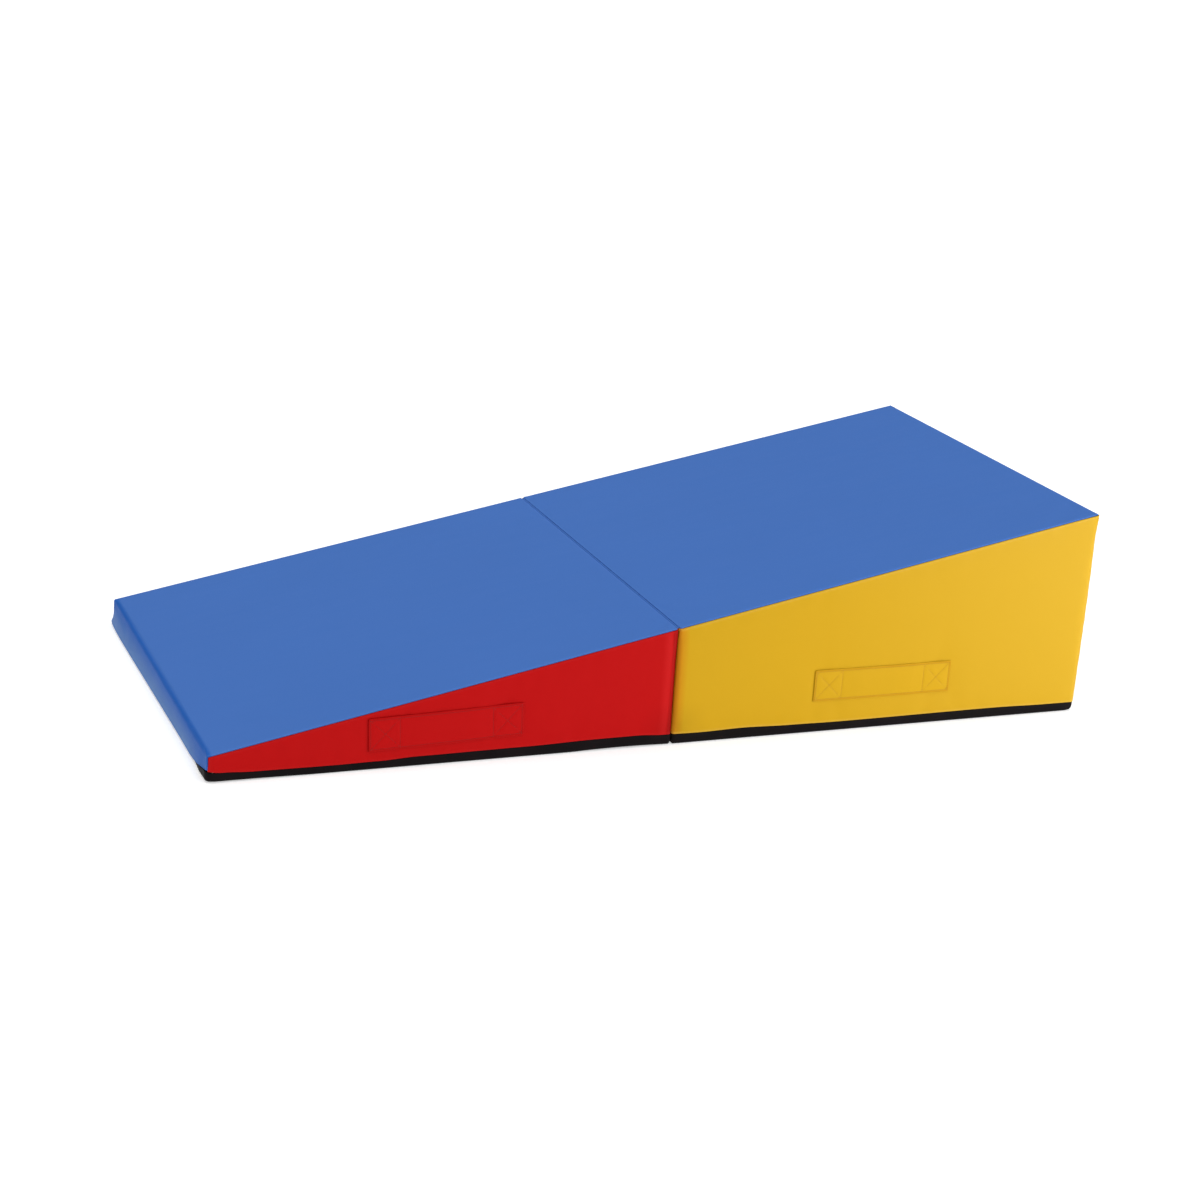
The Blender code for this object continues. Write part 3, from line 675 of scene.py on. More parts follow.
# The side panels are red on the low section and yellow on the high one. Each turns the upright corners and is
# sewn to the hinge wall, or the tall end's wall, just past them. The low ones end at the flap in a square seam.
WALL_SEAM = RIM - 0.00008
ZIP_SLOT = RIM + 0.0104
ZIP_PAST = 0.0030
ZIP_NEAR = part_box("high_zip_upper_tape")[0].x - ZIP_PAST
ZIP_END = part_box("high_zip_upper_tape")[1].x + ZIP_PAST
ZIP_TURN = 0.0060
HINGE_CORNER = 0.0048
HINGE_FOOT = 0.0045
CORNER_CHANGE = 0.040
END_REACH = 0.050
END_DRAWN_IN = 0.0034
END_DRAWN_HEIGHT = 0.105
END_FULL = 0.0012
FRONT_START = 0.15
SEWN_CORNER = 0.002
SEAM_ALLOWANCE = 0.012
SIDE_SWELL = 0.0016
WALL_SWELL = 0.0005
SIDE_CUTS = {-1: (0.190, 0.110, 16), 1: (0.345, 0.265, 30)}
RIM_LINE = (
    (-0.780, 0.0046), (-0.735, 0.0010), (-0.690, -0.0010), (-0.560, -0.0018), (-0.490, -0.0011), (-0.430, 0.0014),
    (-0.250, 0.0026), (-0.120, 0.0053), (-0.058, 0.0055), (-0.014, 0.0032), (0.050, 0.0024), (0.130, 0.0042),
    (0.210, 0.0022), (0.300, 0.0012), (0.600, 0.0028), (0.700, 0.0012), (0.780, 0.0010),
)


def side_path(side):
    """The corner at the hinge, the straight, and the whole with any corner at the tall end, along the panel."""
    arc = CORNER * pi / 2
    if side > 0:
        straight = FAR - GAP - 2 * CORNER
        return arc, straight, arc + straight + arc
    straight = FAR - GAP - CORNER
    return arc, straight, arc + straight


def round_corner(share, radius):
    """A place round an upright corner: how far in from the wall's face and from the side's, and how far turned."""
    flat = CORNER - radius
    length = 2 * flat + radius * pi / 2
    along = share * length
    if along <= flat:
        return 0.0, CORNER - along, 0.0
    if along >= length - flat:
        return CORNER - (length - along), 0.0, pi / 2
    turn = (along - flat) / radius
    return radius * (1 - cos(turn)), radius * (1 - sin(turn)), turn


def upright_radius(x, z, full, foot):
    """Upright corners are drawn tight by the top's seam, and are rounder below it."""
    below = unit((top_height(x) - z) / CORNER_CHANGE)
    above = unit((z - RIM) / CORNER_CHANGE)
    return min(CRISP + (full - CRISP) * below, foot + (full - foot) * above)


def end_lean(x, z):
    """How far the cover stands out at the tall end: drawn in toward the base, and a little full further up."""
    near = unit((x - FAR + END_REACH) / END_REACH)
    drawn_in = max(0.0, 1.0 - z / END_DRAWN_HEIGHT) ** 1.2
    full = sin(pi * unit((z - 0.120) / 0.220))
    return near ** 2 * (END_FULL * full - END_DRAWN_IN * drawn_in)


def on_side(side, face):
    """A place on a side panel: u along it from the hinge wall's seam, v its height."""
    arc, straight, _ = side_path(side)

    def place(u, v):
        if u < arc:
            inner, outer, turn = round_corner(u / arc, upright_radius(side * GAP, v, HINGE_CORNER, HINGE_FOOT))
            x, y = GAP + inner, HALF_WIDTH - outer
            normal = Vector((-cos(turn) * side, sin(turn) * face, 0.0))
        elif u <= arc + straight or side < 0:
            x, y = GAP + CORNER + u - arc, HALF_WIDTH
            normal = Vector((0.0, face, 0.0))
        else:
            inner, outer, turn = round_corner(1 - (u - arc - straight) / arc, upright_radius(FAR, v, CORNER, CORNER))
            x, y = FAR - inner, HALF_WIDTH - outer
            normal = Vector((cos(turn) * side, sin(turn) * face, 0.0))
        x += end_lean(x, v) if side > 0 else 0.0
        return Vector((x * side, y * face, v)), normal

    return place


def rim_raise(x, y):
    """How far the base's rim stands above its mean height: its seam was sewn by eye, and wanders at the front."""
    front = unit((-y - FRONT_START) / (HALF_WIDTH - CORNER - FRONT_START))
    for (x0, z0), (x1, z1) in zip(RIM_LINE, RIM_LINE[1:]):
        if x0 <= x <= x1:
            return front ** 2 * (z0 + (z1 - z0) * ease((x - x0) / (x1 - x0)))
    return 0.0


def side_rows(side, face):
    """The places up a side panel, from the base's rim to the slope. The rear one clears its zip."""
    place = on_side(side, face)
    count = SIDE_CUTS[side][2]

    def rows_at(u):
        x, y, _ = place(u, RIM)[0]
        low = WALL_SEAM + rim_raise(x, y)
        if face > 0:
            inside = min(abs(x) - ZIP_NEAR, ZIP_END - abs(x)) / ZIP_TURN
            low += (ZIP_SLOT - WALL_SEAM) * unit(inside) ** 0.7
        high = top_height(x)
        return [low + ZONE + (high - low - 2 * ZONE) * n / count for n in range(count + 1)]

    return rows_at


def make_side(prefix, label, side, face, slot, material):
    """A side panel, swollen between its seams and round its handle's feet."""
    arc, _, length = side_path(side)
    columns = spread(ZONE, length - ZONE)
    if face > 0:
        to_path = arc - GAP - CORNER
        turns = [ZIP_TURN * n / 6 for n in range(7)]
        extra = [to_path + ZIP_NEAR + turn for turn in turns] + [to_path + ZIP_END - turn for turn in turns]
        kept = [c for c in columns if min(abs(c - e) for e in extra) > 0.002 or c in (columns[0], columns[-1])]
        columns = sorted(kept + extra)
    far_edge = flat_seam() if side > 0 else seam(90)
    edges = (flat_seam(), far_edge, flat_seam() if face < 0 else cut(), seam(90))
    corners = (SEWN_CORNER, SEWN_CORNER, SEWN_CORNER, SEWN_CORNER if side > 0 else CRISP)
    sheet = panel(prefix + label + "_panel", columns, side_rows(side, face), edges, corners, on_side(side, face))
    low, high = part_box(prefix + label + "_handle")
    feet = [(low.x - 0.004, low.x + 0.052, low.z, high.z), (high.x - 0.052, high.x + 0.004, low.z, high.z)]
    cover(sheet, SIDE_SWELL, prefix, slot, material, label + "_side", feet)
    tall, mean, _ = SIDE_CUTS[side]
    rests_on = [prefix + "_foam_board_1", prefix + "_foam_board_2"]


for prefix, side, material, slot in (
    ("low", -1, red_vinyl, "red_vinyl"), ("high", 1, yellow_vinyl, "yellow_vinyl"),
):
    for label, face in (("_front", -1), ("_rear", 1)):
        make_side(prefix, label, side, face, slot, material)


# The hinge walls face each other across the fold, and the end wall closes the tall end. They are plain flat
# panels between the side panels' seams, and stand hidden from the photograph.
def make_wall(prefix, label, x, face, below, slot, material, upper_seam):
    half = HALF_WIDTH - CORNER
    high = top_height(x) - below
    columns = spread(ZONE, 2 * half - ZONE)
    rows = spread(WALL_SEAM + ZONE, high - ZONE)

    def rows_at(u):
        low = WALL_SEAM + rim_raise(x, u - half) + ZONE
        return [low + (row - rows[0]) * (rows[-1] - low) / (rows[-1] - rows[0]) for row in rows]

    def place(u, v):
        return Vector((x + end_lean(x, v), u - half, v)), Vector((face, 0.0, 0.0))

    edges = (flat_seam(), flat_seam(), flat_seam(), upper_seam)
    sheet = panel(prefix + label + "_panel", columns, rows_at, edges, (SEWN_CORNER,) * 4, place)
    cover(sheet, WALL_SWELL, prefix, slot, material, label + "_wall")
    flat = (2 * half + SEAM_ALLOWANCE, high - RIM + SEAM_ALLOWANCE)


UNDER_STRIP = 0.0014
make_wall("low", "_hinge", -GAP, 1, UNDER_STRIP, "red_vinyl", red_vinyl, LOW_TOP_SEAM)
make_wall("high", "_hinge", GAP, -1, UNDER_STRIP, "yellow_vinyl", yellow_vinyl, HIGH_TOP_SEAM)
make_wall("high", "_end", FAR, 1, 0.0, "yellow_vinyl", yellow_vinyl, seam(78))


# The base is black non-slip vinyl: one sheet under each section, whose edge turns up all round as a rim and is
# sewn to the panels above. Its face is embossed with small round studs.
def grip(name):
    finish = Finish(name, Specular_IOR_Level=0.05)
    edge = finish.attribute("edge")
    worn = finish.noise(18.0, 5.0).between(0.45, 0.80)
    groove = 1.0 - edge.between(*GROOVE)
    tone = finish.blend(worn, BLACK, shade(BLACK, 1.9))
    finish.colour(finish.blend(groove * 0.6, tone, shade(BLACK, 0.5)))
    finish.rough(worn * 0.14 + 0.56)
    studs = 1.0 - finish.cells(330.0).between(0.10, 0.42)
    finish.bump(studs + finish.noise(900.0, 2.0) * 0.25, 0.00012)
    return finish.material


black_grip = grip("black_grip_studs")
BASE_ROUND = 0.0055
BASE_CORNER = 0.0110
BASE_CURL = 0.0018
BASE_PROUD = 0.0016
BASE_FAR_ROUND = 0.0114
BASE_LIP = 0.0012
BASE_THICK = 0.0011
BASE_SEAM = 0.00006
CURL_AT_FOLD = 0.085
CURL_AT_END = -0.600


def base_profile(turned_in, round_by=BASE_ROUND):
    """From the top of the rim, turned in or cut off, down the rim and round under the mat."""
    top = RIM - BASE_SEAM
    rows = [(BASE_LIP + 0.0038, top, -0.006) if turned_in else (0.0, top, 0.0)]
    for step in range(5):
        angle = pi / 2 * step / 4
        if turned_in:
            drop = BASE_LIP * (1 - cos(angle))
            rows.append((BASE_LIP - BASE_LIP * sin(angle), RIM - drop - BASE_SEAM, -0.0015 * (1 - step / 4)))
        else:
            drop = 0.0030 * (step + 1) / 5
            rows.append((0.0, RIM - drop - BASE_SEAM, drop))
    for step in range(4):
        angle = pi / 2 * step / 4
        rows.append((round_by * (1 - cos(angle)), round_by * (1 - sin(angle)), 0.001 + 0.002 * step))
    rows.append((ZONE, 0.0, 0.012))
    return rows


def make_base(prefix, side, x0, x1, radii, far_round):
    """The sheet under one section. It has its points at the same places along the mat as the side panels have."""
    arc, _, length = side_path(side)
    shared = [side * (GAP + CORNER + u - arc) for u in spread(ZONE, length - ZONE)]
    shared = sorted(x - x0 for x in shared if x0 + ZONE + 0.003 < x < x1 - ZONE - 0.003)
    rows = [ZONE] + shared + [x1 - x0 - ZONE]
    edge = base_profile(True)

    def place(u, v):
        return Vector((x0 + v, u - HALF_WIDTH, 0.0)), Vector((0.0, 0.0, -1.0))

    edges = (edge, base_profile(False), edge, base_profile(True, far_round))
    sheet = panel(prefix + "_base_sheet", across, lambda u: rows, edges, radii, place)
    for vertex in sheet.data.vertices:
        x, y, z = vertex.co
        vertex.co.z = z * (RIM + rim_raise(x, y)) / RIM
        if y < -HALF_WIDTH + 0.010:
            by_fold = max(0.0, 1 - ((x + CURL_AT_FOLD) / CURL_AT_FOLD) ** 2)
            by_end = 0.6 * unit((CURL_AT_END - x) / 0.080)
            vertex.co.z += BASE_CURL * (by_fold + by_end) * max(0.0, 1 - z / RIM)
        vertex.co.x += end_lean(x, z)
        near = front_corner(y) if x < THIN_X + 0.012 else 0.0
        if near > 0.20:
            vertex.co.z *= min((FLAP + hem_lift(y) + 0.0015) / (RIM + rim_raise(x, y)), 1.0)
        vertex.co.x -= (LOW_BASE_X - THIN_X + BASE_PROUD) * unit((near - 0.25) * 3.0)
    thicken(sheet, BASE_THICK)
    dress(sheet, prefix + "_section", "black_grip", black_grip, prefix + "_base")


make_base(
    "low", -1, LOW_BASE_X, -GAP, (BASE_CORNER, BASE_CORNER, HINGE_FOOT, HINGE_FOOT), BASE_ROUND,
)
make_base(
    "high", 1, GAP, FAR, (HINGE_FOOT, HINGE_FOOT, BASE_CORNER, BASE_CORNER), BASE_FAR_ROUND
)


# The hinge strip is a band of the same blue vinyl, sewn under the meeting edges of both tops. It swells a little
# into the gap between them, with close points across the fold, where the real strip bends through half a turn
# when the low section folds over; here it stays as it lies.
STRIP_BEND = 0.0018
STRIP_THICK = 0.0009
STRIP_DROP = VINYL + 0.00035
STRIP_END = HALF_WIDTH - 0.0056
PLAIN = 0.02
strip_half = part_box("hinge_strip")[1].x
strip_flat = [0.003, 0.006, 0.012, strip_half]
strip_x = [-x for x in reversed(strip_flat)] + [STRIP_BEND * n / 8 for n in range(-8, 9)] + strip_flat
strip_y = spread(-STRIP_END, STRIP_END)


def on_strip(u, v):
    x = u - strip_half
    swell = STRIP_THICK * max(0.0, 1.0 - (x / 0.0016) ** 2)
    return Vector((x, v, top_height(x))) - slope_out * (STRIP_DROP - swell), slope_out


flat_strip = [[(x + strip_half, y, 0.0, PLAIN) for y in strip_y] for x in strip_x]
strip = surface("hinge_band", flat_strip, on_strip)
thicken(strip, STRIP_THICK)
strip.data.materials.clear()
strip.data.materials.append(blue_vinyl)
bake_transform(strip)
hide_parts("hinge_strip")


# Stitches and zip teeth repeat along lines. A node group lays one unit at every pitch along a run of points,
# turned to the run and to the face that it lies on.
def repeat_group(name, build_unit):
    group = bpy.data.node_groups.new(name, "GeometryNodeTree")
    for label, kind, value in (
        ("Runs", "NodeSocketGeometry", None), ("Pitch", "NodeSocketFloat", 0.004),
        ("Length", "NodeSocketFloat", 0.003), ("Thickness", "NodeSocketFloat", 0.0006),
        ("Material", "NodeSocketMaterial", None),
    ):
        socket = group.interface.new_socket(label, in_out="INPUT", socket_type=kind)
        if value is not None:
            socket.default_value = value
    group.interface.new_socket("Pieces", in_out="OUTPUT", socket_type="NodeSocketGeometry")
    tree = Tree(group)
    runs, pitch, length, thickness, material = tree.add("NodeGroupInput", {}, {})[:5]
    curve = tree.add("GeometryNodeMeshToCurve", {}, {"Mesh": runs})[0]
    spaced = tree.add("GeometryNodeResampleCurve", {"mode": "LENGTH"}, {"Curve": curve, "Length": pitch})[0]
    points, tangent = tree.add("GeometryNodeCurveToPoints", {"mode": "EVALUATED"}, {"Curve": spaced})[:2]
    facing = tree.add("GeometryNodeInputNamedAttribute", {"data_type": "FLOAT_VECTOR"}, {"Name": "facing"})[0]
    along = tree.add("FunctionNodeAlignRotationToVector", {"axis": "X"}, {"Vector": tangent})[0]
    turned = tree.add(
        "FunctionNodeAlignRotationToVector", {"axis": "Z", "pivot_axis": "X"}, {"Rotation": along, "Vector": facing}
    )[0]
    unit = build_unit(tree, length, thickness)
    laid = tree.add("GeometryNodeInstanceOnPoints", {}, {"Points": points, "Instance": unit, "Rotation": turned})[0]
    real = tree.add("GeometryNodeRealizeInstances", {}, {"Geometry": laid})[0]
    smooth = tree.add("GeometryNodeSetShadeSmooth", {}, {"Geometry": real})[0]
    done = tree.add("GeometryNodeSetMaterial", {}, {"Geometry": smooth, "Material": material})[0]
    tree.add("NodeGroupOutput", {}, (done,))
    return group


def stitch_unit(tree, length, thickness):
    """One stitch: a short thread that rises out of the cloth and dives in again."""
    half = length * 0.5
    ends = {"Start": (half * -1.0, -0.7), "Middle": (0.0, 1.3), "End": (half, -0.7)}
    places = {k: tree.add("ShaderNodeCombineXYZ", {}, (x, 0.0, thickness * z))[0] for k, (x, z) in ends.items()}
    arch = tree.add("GeometryNodeCurveQuadraticBezier", {}, {"Resolution": 6, **places})[0]
    ring = tree.add("GeometryNodeCurvePrimitiveCircle", {}, {"Resolution": 6, "Radius": thickness * 0.5})[0]
    return tree.add("GeometryNodeCurveToMesh", {}, {"Curve": arch, "Profile Curve": ring, "Fill Caps": True})[0]


def tooth_unit(tree, length, thickness):
    """One tooth of the coil: a squashed bead that lies across the zip."""
    bead = tree.add("GeometryNodeMeshUVSphere", {}, {"Segments": 8, "Rings": 6, "Radius": 0.5})[0]
    size = tree.add("ShaderNodeCombineXYZ", {}, (thickness * 0.52, length, thickness * 1.15))[0]
    return tree.add("GeometryNodeTransform", {}, {"Geometry": bead, "Scale": size})[0]


stitch_group = repeat_group("stitches", stitch_unit)
tooth_group = repeat_group("zip_teeth", tooth_unit)


def repeat(name, group, runs, pitch, length, thickness, material):
    """Lays a group's units along runs of (point, facing) and keeps them as a plain mesh."""
    mesh = bpy.data.meshes.new(name)
    points = [point for run in runs for point, _ in run]
    edges, start = [], 0
    for run in runs:
        edges += [(start + n, start + n + 1) for n in range(len(run) - 1)]
        start += len(run)
    mesh.from_pydata(points, edges, [])
    facing = mesh.attributes.new("facing", "FLOAT_VECTOR", "POINT")
    facing.data.foreach_set("vector", np.array([f for run in runs for _, f in run], np.float32).ravel())
    thing = put(name, mesh)
    laid = thing.modifiers.new("laid", "NODES")
    laid.node_group = group
    values = {"Pitch": pitch, "Length": length, "Thickness": thickness, "Material": material}
    for item in group.interface.items_tree:
        if item.in_out == "INPUT" and item.name in values:
            laid[item.identifier] = values[item.name]
    return bake(thing)


def thread(name, colour):
    finish = Finish(name, Roughness=0.55, Specular_IOR_Level=0.3)
    twist = finish.wave("DIAGONAL", 900.0, 0.0)
    finish.colour(finish.blend(twist, shade(colour, 0.75), shade(colour, 1.15)))
    finish.bump(twist, 0.00008)
    return finish.material


red_thread = thread("red_thread", (0.27, 0.003, 0.003))
yellow_thread = thread("yellow_thread", (0.44, 0.22, 0.008))
black_thread = thread("black_thread", (0.020, 0.019, 0.020))


# The carry handles are doubled straps of the section's own vinyl, hemmed all round. Each is sewn to its side panel
# by a crossed box at both ends, and at rest its middle lies just off the panel.
STRAP = 0.0024
STRAP_LENGTH = 0.2540
STRAP_HEIGHT = 0.0550
STRAP_FOOT = 0.0530
STRAP_RISE = 0.0280
STRAP_LIFT = 0.0012
STRAP_INSET = 0.0036
STRAP_SEAT = 0.0003
STRAP_VINYL = 0.0009
STITCH_PITCH = 0.0034
STITCH = 0.0030
FOOT_LINE = STRAP_FOOT - 0.0020


def strap_lines():
    """The stitch lines on a strap, as pairs of (u, v): a crossed box at each end, and both long edges."""
    low, high = STRAP_INSET, STRAP_HEIGHT - STRAP_INSET
    lines = []
    for u0, u1 in ((STRAP_INSET, FOOT_LINE), (STRAP_LENGTH - FOOT_LINE, STRAP_LENGTH - STRAP_INSET)):
        corners = [(u0, low), (u1, low), (u1, high), (u0, high)]
        lines += [(corners[n], corners[(n + 1) % 4]) for n in range(4)]
        lines += [(corners[0], corners[2]), (corners[1], corners[3])]
    return lines + [((FOOT_LINE, v), (STRAP_LENGTH - FOOT_LINE, v)) for v in (low, high)]


def line_distance(u, v, line):
    """How far a flat place is from a line between two others."""
    (u0, v0), (u1, v1) = line
    du, dv = u1 - u0, v1 - v0
    share = unit(((u - u0) * du + (v - v0) * dv) / (du * du + dv * dv))
    return ((u - u0 - share * du) ** 2 + (v - v0 - share * dv) ** 2) ** 0.5


def on_strap(centre, tilt, face):
    """A place on a strap: u along it from its low end, v up it. Its face is pressed in along the stitches."""
    lines = strap_lines()

    def lift(x):
        share = unit((STRAP_LENGTH / 2 - STRAP_FOOT - abs(x)) / STRAP_RISE)
        return STRAP_SEAT + STRAP + (STRAP_LIFT - STRAP_SEAT) * ease(share)

    def place(u, v):
        x, z = u - STRAP_LENGTH / 2, v - STRAP_HEIGHT / 2
        slope = (lift(x + 0.0005) - lift(x - 0.0005)) / 0.001
        normal = Vector((-slope, 1.0, 0.0)).normalized()
        px, pz = x * cos(tilt) - z * sin(tilt), x * sin(tilt) + z * cos(tilt)
        near = min(line_distance(u, v, line) for line in lines)
        out = lift(x) - 0.0006 * 2.718 ** (-(near / 0.0016) ** 2)
        point = Vector((centre.x + px, face * (HALF_WIDTH + out), centre.z + pz))
        return point, Vector((normal.x * cos(tilt), normal.y * face, normal.x * sin(tilt)))

    return place


def straight_run(place, start, end):
    """Points on a face from one flat place to another."""
    steps = max(2, round(((end[0] - start[0]) ** 2 + (end[1] - start[1]) ** 2) ** 0.5 / 0.004))
    run = []
    for n in range(steps + 1):
        share = n / steps
        run.append(place(start[0] + (end[0] - start[0]) * share, start[1] + (end[1] - start[1]) * share))
    return run


def make_handle(prefix, label, face, shift, tilt, material, slot, thread_material):
    node = "%s_%s_handle" % (prefix, label)
    low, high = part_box(node)
    place = on_strap((low + high) / 2 + Vector(shift), tilt, face)
    foot = [ZONE + (STRAP_FOOT - ZONE) * n / 24 for n in range(25)]
    free = spread(STRAP_FOOT, STRAP_LENGTH - STRAP_FOOT, most=0.005)[1:-1]
    columns = foot + free + [STRAP_LENGTH - c for c in reversed(foot)]
    rows = [ZONE + (STRAP_HEIGHT - 2 * ZONE) * n / 18 for n in range(19)]
    strap = panel(node + "_strap", columns, lambda u: rows, (hem(0.0088),) * 4, (SEWN_CORNER,) * 4, place)
    thicken(strap, STRAP_VINYL)
    dress(strap, prefix + "_section", slot, material, node)
    runs = [straight_run(place, a, b) for a, b in strap_lines()]
    sewn = repeat(node + "_stitches", stitch_group, runs, STITCH_PITCH, STITCH, 0.0007, thread_material)
    hand_over(sewn, prefix + "_section", slot)


for label, face in (("front", -1), ("rear", 1)):
    make_handle("low", label, face, (0.0, 0.0, 0.0035), radians(1.9), red_strap, "red_vinyl", red_thread)
    make_handle("high", label, face, (-0.004, 0.0, 0.0035), 0.0, yellow_strap, "yellow_vinyl", yellow_thread)


# The cover zips lie above the base on the rear side: black woven tapes behind the cut edges, sewn with one row
# of stitches each, and a closed nylon coil. Sliders, pulls and stops are nickel-plated and keep their solids.
def woven(name, colour):
    finish = Finish(name, Roughness=0.85)
    weave = finish.wave("X", 420.0, 0.6) * 0.6 + finish.wave("Z", 520.0, 0.4) * 0.4
    finish.colour(finish.blend(weave, shade(colour, 0.6), shade(colour, 1.8)))
    finish.bump(weave, 0.00010)
    return finish.material


def moulded(name, colour):
    finish = Finish(name, Specular_IOR_Level=0.5)
    cloud = finish.noise(700.0, 3.0)
    finish.colour(finish.blend(cloud, shade(colour, 0.8), shade(colour, 1.5)))
    finish.rough(cloud * 0.12 + 0.30)
    finish.bump(cloud, 0.00002)
    return finish.material


def plated(name, colour):
    finish = Finish(name, Metallic=1.0)
    rubbed = finish.noise(300.0, 6.0, finish.place((1.0, 3.0, 8.0))).between(0.35, 0.75)
    finish.colour(finish.blend(rubbed, colour, shade(colour, 0.82)))
    finish.rough(rubbed * 0.16 + 0.18)
    finish.bump(finish.noise(2200.0, 3.0), 0.00001)
    return finish.material


zip_cloth = woven("zip_cloth_weave", (0.014, 0.013, 0.014))
zip_nylon = moulded("zip_nylon_coil", (0.016, 0.015, 0.016))
nickel = plated("nickel_plate", (0.66, 0.65, 0.62))
TAPE = 0.0005
TEETH = {"pitch": 0.0016, "length": 0.0038, "thickness": 0.0019}
ROW = 0.00105
SEAM_LINE = 0.0026


def make_zip(prefix, side, slot, thread_material):
    body = prefix + "_section"
    for label in ("upper", "lower"):
        node = "%s_zip_%s_tape" % (prefix, label)
        low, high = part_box(node)
        columns = spread(low.x, high.x)
        levels = [low.z + (high.z - low.z) * n / 6 for n in range(7)]

        def on_tape(u, v):
            ripple = 0.00008 * sin(u * 210.0) * (v - low.z) / (high.z - low.z)
            return Vector((u, high.y + ripple, v)), Vector((0.0, 1.0, 0.0))

        tape = surface(node + "_cloth", [[(u, v, 0.0, PLAIN) for v in levels] for u in columns], on_tape)
        thicken(tape, TAPE)
        dress(tape, body, "zip_cloth", zip_cloth, node)
    node = prefix + "_zip_chain"
    low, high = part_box(node)
    middle = (low + high) / 2
    facing = Vector((0.0, 1.0, 0.0))
    runs = []
    for z, shift in ((ROW, 0.0), (-ROW, TEETH["pitch"] / 2)):
        ends = (low.x + 0.0006 + shift, high.x - 0.0006)
        runs.append([(Vector((x, middle.y, middle.z + z)), facing) for x in ends])
    teeth = repeat(prefix + "_zip_teeth", tooth_group, runs, material=zip_nylon, **TEETH)
    hand_over(teeth, body, "zip_nylon", node)
    ends = sorted((side * (ZIP_NEAR + ZIP_TURN), side * (ZIP_END - ZIP_TURN)))
    for label, z, sewn_slot, sewn_thread in (
        ("panel", ZIP_SLOT + SEAM_LINE, slot, thread_material), ("rim", RIM - SEAM_LINE, "black_grip", black_thread),
    ):
        line = [(Vector((x, HALF_WIDTH, z)), facing) for x in ends]
        name = "%s_zip_%s_stitches" % (prefix, label)
        sewn = repeat(name, stitch_group, [line], STITCH_PITCH, STITCH, 0.0006, sewn_thread)
        hand_over(sewn, body, sewn_slot)
    for part in ("zip_slider", "zip_pull", "zip_hinge_stop", "zip_far_stop"):
        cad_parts["%s_%s" % (prefix, part)].material_slots[0].material = nickel


make_zip("low", -1, "red_vinyl", red_thread)
make_zip("high", 1, "yellow_vinyl", yellow_thread)


# The core is white expanded polyethylene foam in cut boards, laid on each other. Its cut faces show small pores,
# and its edges are taken off under the cover's seams.
def foam(name, colour):
    finish = Finish(name, Roughness=0.92, Specular_IOR_Level=0.1)
    pores = finish.cells(700.0).between(0.10, 0.55)
    holes = finish.cells(180.0).between(0.05, 0.20)
    finish.colour(finish.blend(pores, shade(colour, 0.62), colour))
    finish.bump(pores * 0.5 + holes * 0.5, 0.0006)
    return finish.material


white_foam = foam("white_foam_cells", (0.74, 0.71, 0.62))
SKIN = 0.0013
CHAMFER = 0.0080
FOOT_CHAMFER = 0.0088


def chamfers(side):
    """Planes that take the core's edges off under the cover's seams, and over the tall end's round base edge.

    Each is a point on it and its outward normal.
    """
    wall_x, wall_top = (FAR, top_height(FAR)) if side > 0 else (-GAP, top_height(-GAP))
    along = Vector((1.0, 0.0, 0.0))
    planes = []
    for face in (-1, 1):
        out = Vector((0.0, face, 0.0))
        planes.append((Vector((-GAP, face * (HALF_WIDTH - SKIN - CHAMFER), HINGE_TOP - SKIN)), slope_out + out))
    planes.append((Vector((wall_x - SKIN - CHAMFER, 0.0, wall_top - SKIN)), slope_out + along))
    if side > 0:
        planes.append((Vector((GAP + SKIN + CHAMFER, 0.0, top_height(GAP) - SKIN)), slope_out - along))
        planes.append((Vector((FAR - SKIN - FOOT_CHAMFER, 0.0, 0.0)), along - Vector((0.0, 0.0, 1.0))))
    return [(point, normal.normalized()) for point, normal in planes]


for node, solid in sorted(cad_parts.items()):
    if "_foam_board_" in node:
        bm = bmesh.new()
        bm.from_mesh(solid.data)
        bmesh.ops.remove_doubles(bm, verts=bm.verts, dist=1e-6)
        for point, normal in chamfers(-1 if node.startswith("low") else 1):
            whole = bm.verts[:] + bm.edges[:] + bm.faces[:]
            bmesh.ops.bisect_plane(bm, geom=whole, dist=1e-6, plane_co=point, plane_no=normal, clear_outer=True)
            bmesh.ops.holes_fill(bm, edges=[edge for edge in bm.edges if edge.is_boundary])
        for vertex in bm.verts:
            vertex.co.x += end_lean(vertex.co.x, vertex.co.z)
        mesh = bpy.data.meshes.new(node + "_cut")
        bm.to_mesh(mesh)
        bm.free()
        board = put(node + "_cut", mesh)
        dress(board, node.split("_")[0] + "_section", "white_foam", white_foam, node)


# The floor is a plain white sheet that glows a little, as a lit table does, and a white screen stands far off all
# round it, which throws no light. The light comes from above, with a broad soft lamp low on the right, and the
# studio is darker behind the mat.
def paint(name, colour, roughness, glow):
    finish = Finish(name, Roughness=roughness)
    finish.shader.inputs["Emission Color"].default_value = (1.0, 1.0, 1.0, 1.0)
    finish.shader.inputs["Emission Strength"].default_value = glow
    finish.colour(finish.blend(finish.noise(3.0, 3.0), colour, shade(colour, 0.985)))
    return finish.material


FLOOR_HALF = 60
SCREEN_RADIUS = 50
SCREEN_HEIGHT = 45
SCREEN_SIDES = 64


def studio_piece(name, points, faces, material):
    mesh = bpy.data.meshes.new(name)
    mesh.from_pydata(points, [], faces)
    mesh.materials.append(material)
    return put(name, mesh)


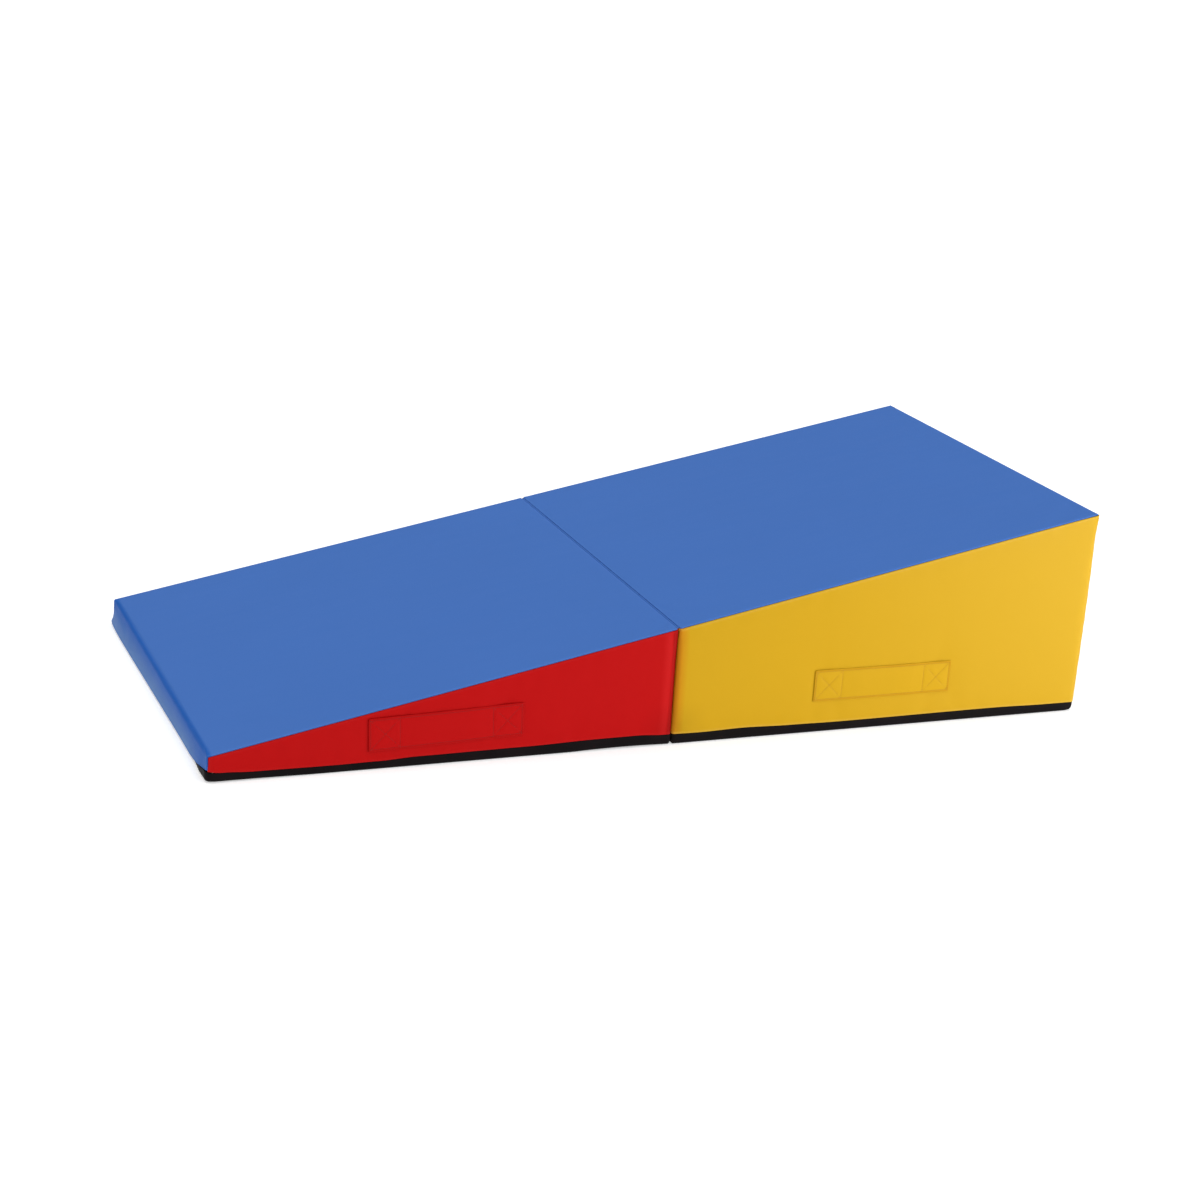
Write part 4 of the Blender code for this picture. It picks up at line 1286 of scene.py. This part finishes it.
floor = studio_piece(
    "floor", [(x * FLOOR_HALF, y * FLOOR_HALF, 0) for x, y in ((-1, -1), (1, -1), (1, 1), (-1, 1))],
    [(0, 1, 2, 3)], paint("floor_paint", (0.80, 0.80, 0.80), 0.6, 0.45),
)
turns = [2 * pi * n / SCREEN_SIDES for n in range(SCREEN_SIDES)]
screen = studio_piece(
    "screen", [(SCREEN_RADIUS * cos(t), SCREEN_RADIUS * sin(t), z) for z in (0, SCREEN_HEIGHT) for t in turns],
    [
        (SCREEN_SIDES + n, SCREEN_SIDES + (n + 1) % SCREEN_SIDES, (n + 1) % SCREEN_SIDES, n)
        for n in range(SCREEN_SIDES)
    ],
    paint("screen_paint", (0.02, 0.02, 0.02), 1.0, 1.0),
)
for ray in ("diffuse", "glossy", "transmission", "volume_scatter", "shadow"):
    setattr(screen, "visible_" + ray, False)

world = bpy.data.worlds.new("studio")
bpy.context.scene.world = world
world.use_nodes = True
sky = Tree(world.node_tree)
toward = sky.add("ShaderNodeTexCoord", {}, {})[0]
toward_right, toward_rear, toward_up = sky.add("ShaderNodeSeparateXYZ", {}, (toward,))
low_light = (toward_rear.between(-0.3, 0.3) * -0.4 + 0.6) * (toward_right.between(-0.9, -0.1) * 0.75 + 0.25)
above = toward_up.between(0.35, 0.90)
sky.feed(sky.nodes["Background"].inputs["Color"], (1.0, 1.0, 1.0, 1.0))
sky.feed(sky.nodes["Background"].inputs["Strength"], low_light + (1.2 - low_light) * above)


sun = bpy.data.lights.new("sun", "SUN")
sun.energy = 0.5
sun.angle = radians(70)
put("sun", sun).rotation_euler = (radians(18), radians(12), 0)
FILL_AT = Vector((1.6, -1.6, 0.30))
FILL_AIM = Vector((0.2, -0.38, 0.12))
fill = bpy.data.lights.new("right_fill", "AREA")
fill.energy = 17.6
fill.shape = "RECTANGLE"
fill.size, fill.size_y = 1.0, 0.5
fill_lamp = put("right_fill", fill)
fill_lamp.location = FILL_AT
fill_lamp.rotation_euler = (FILL_AIM - FILL_AT).to_track_quat("-Z", "Y").to_euler()
fill_lamp.visible_camera = False
bpy.context.scene.view_settings.view_transform = "Standard"
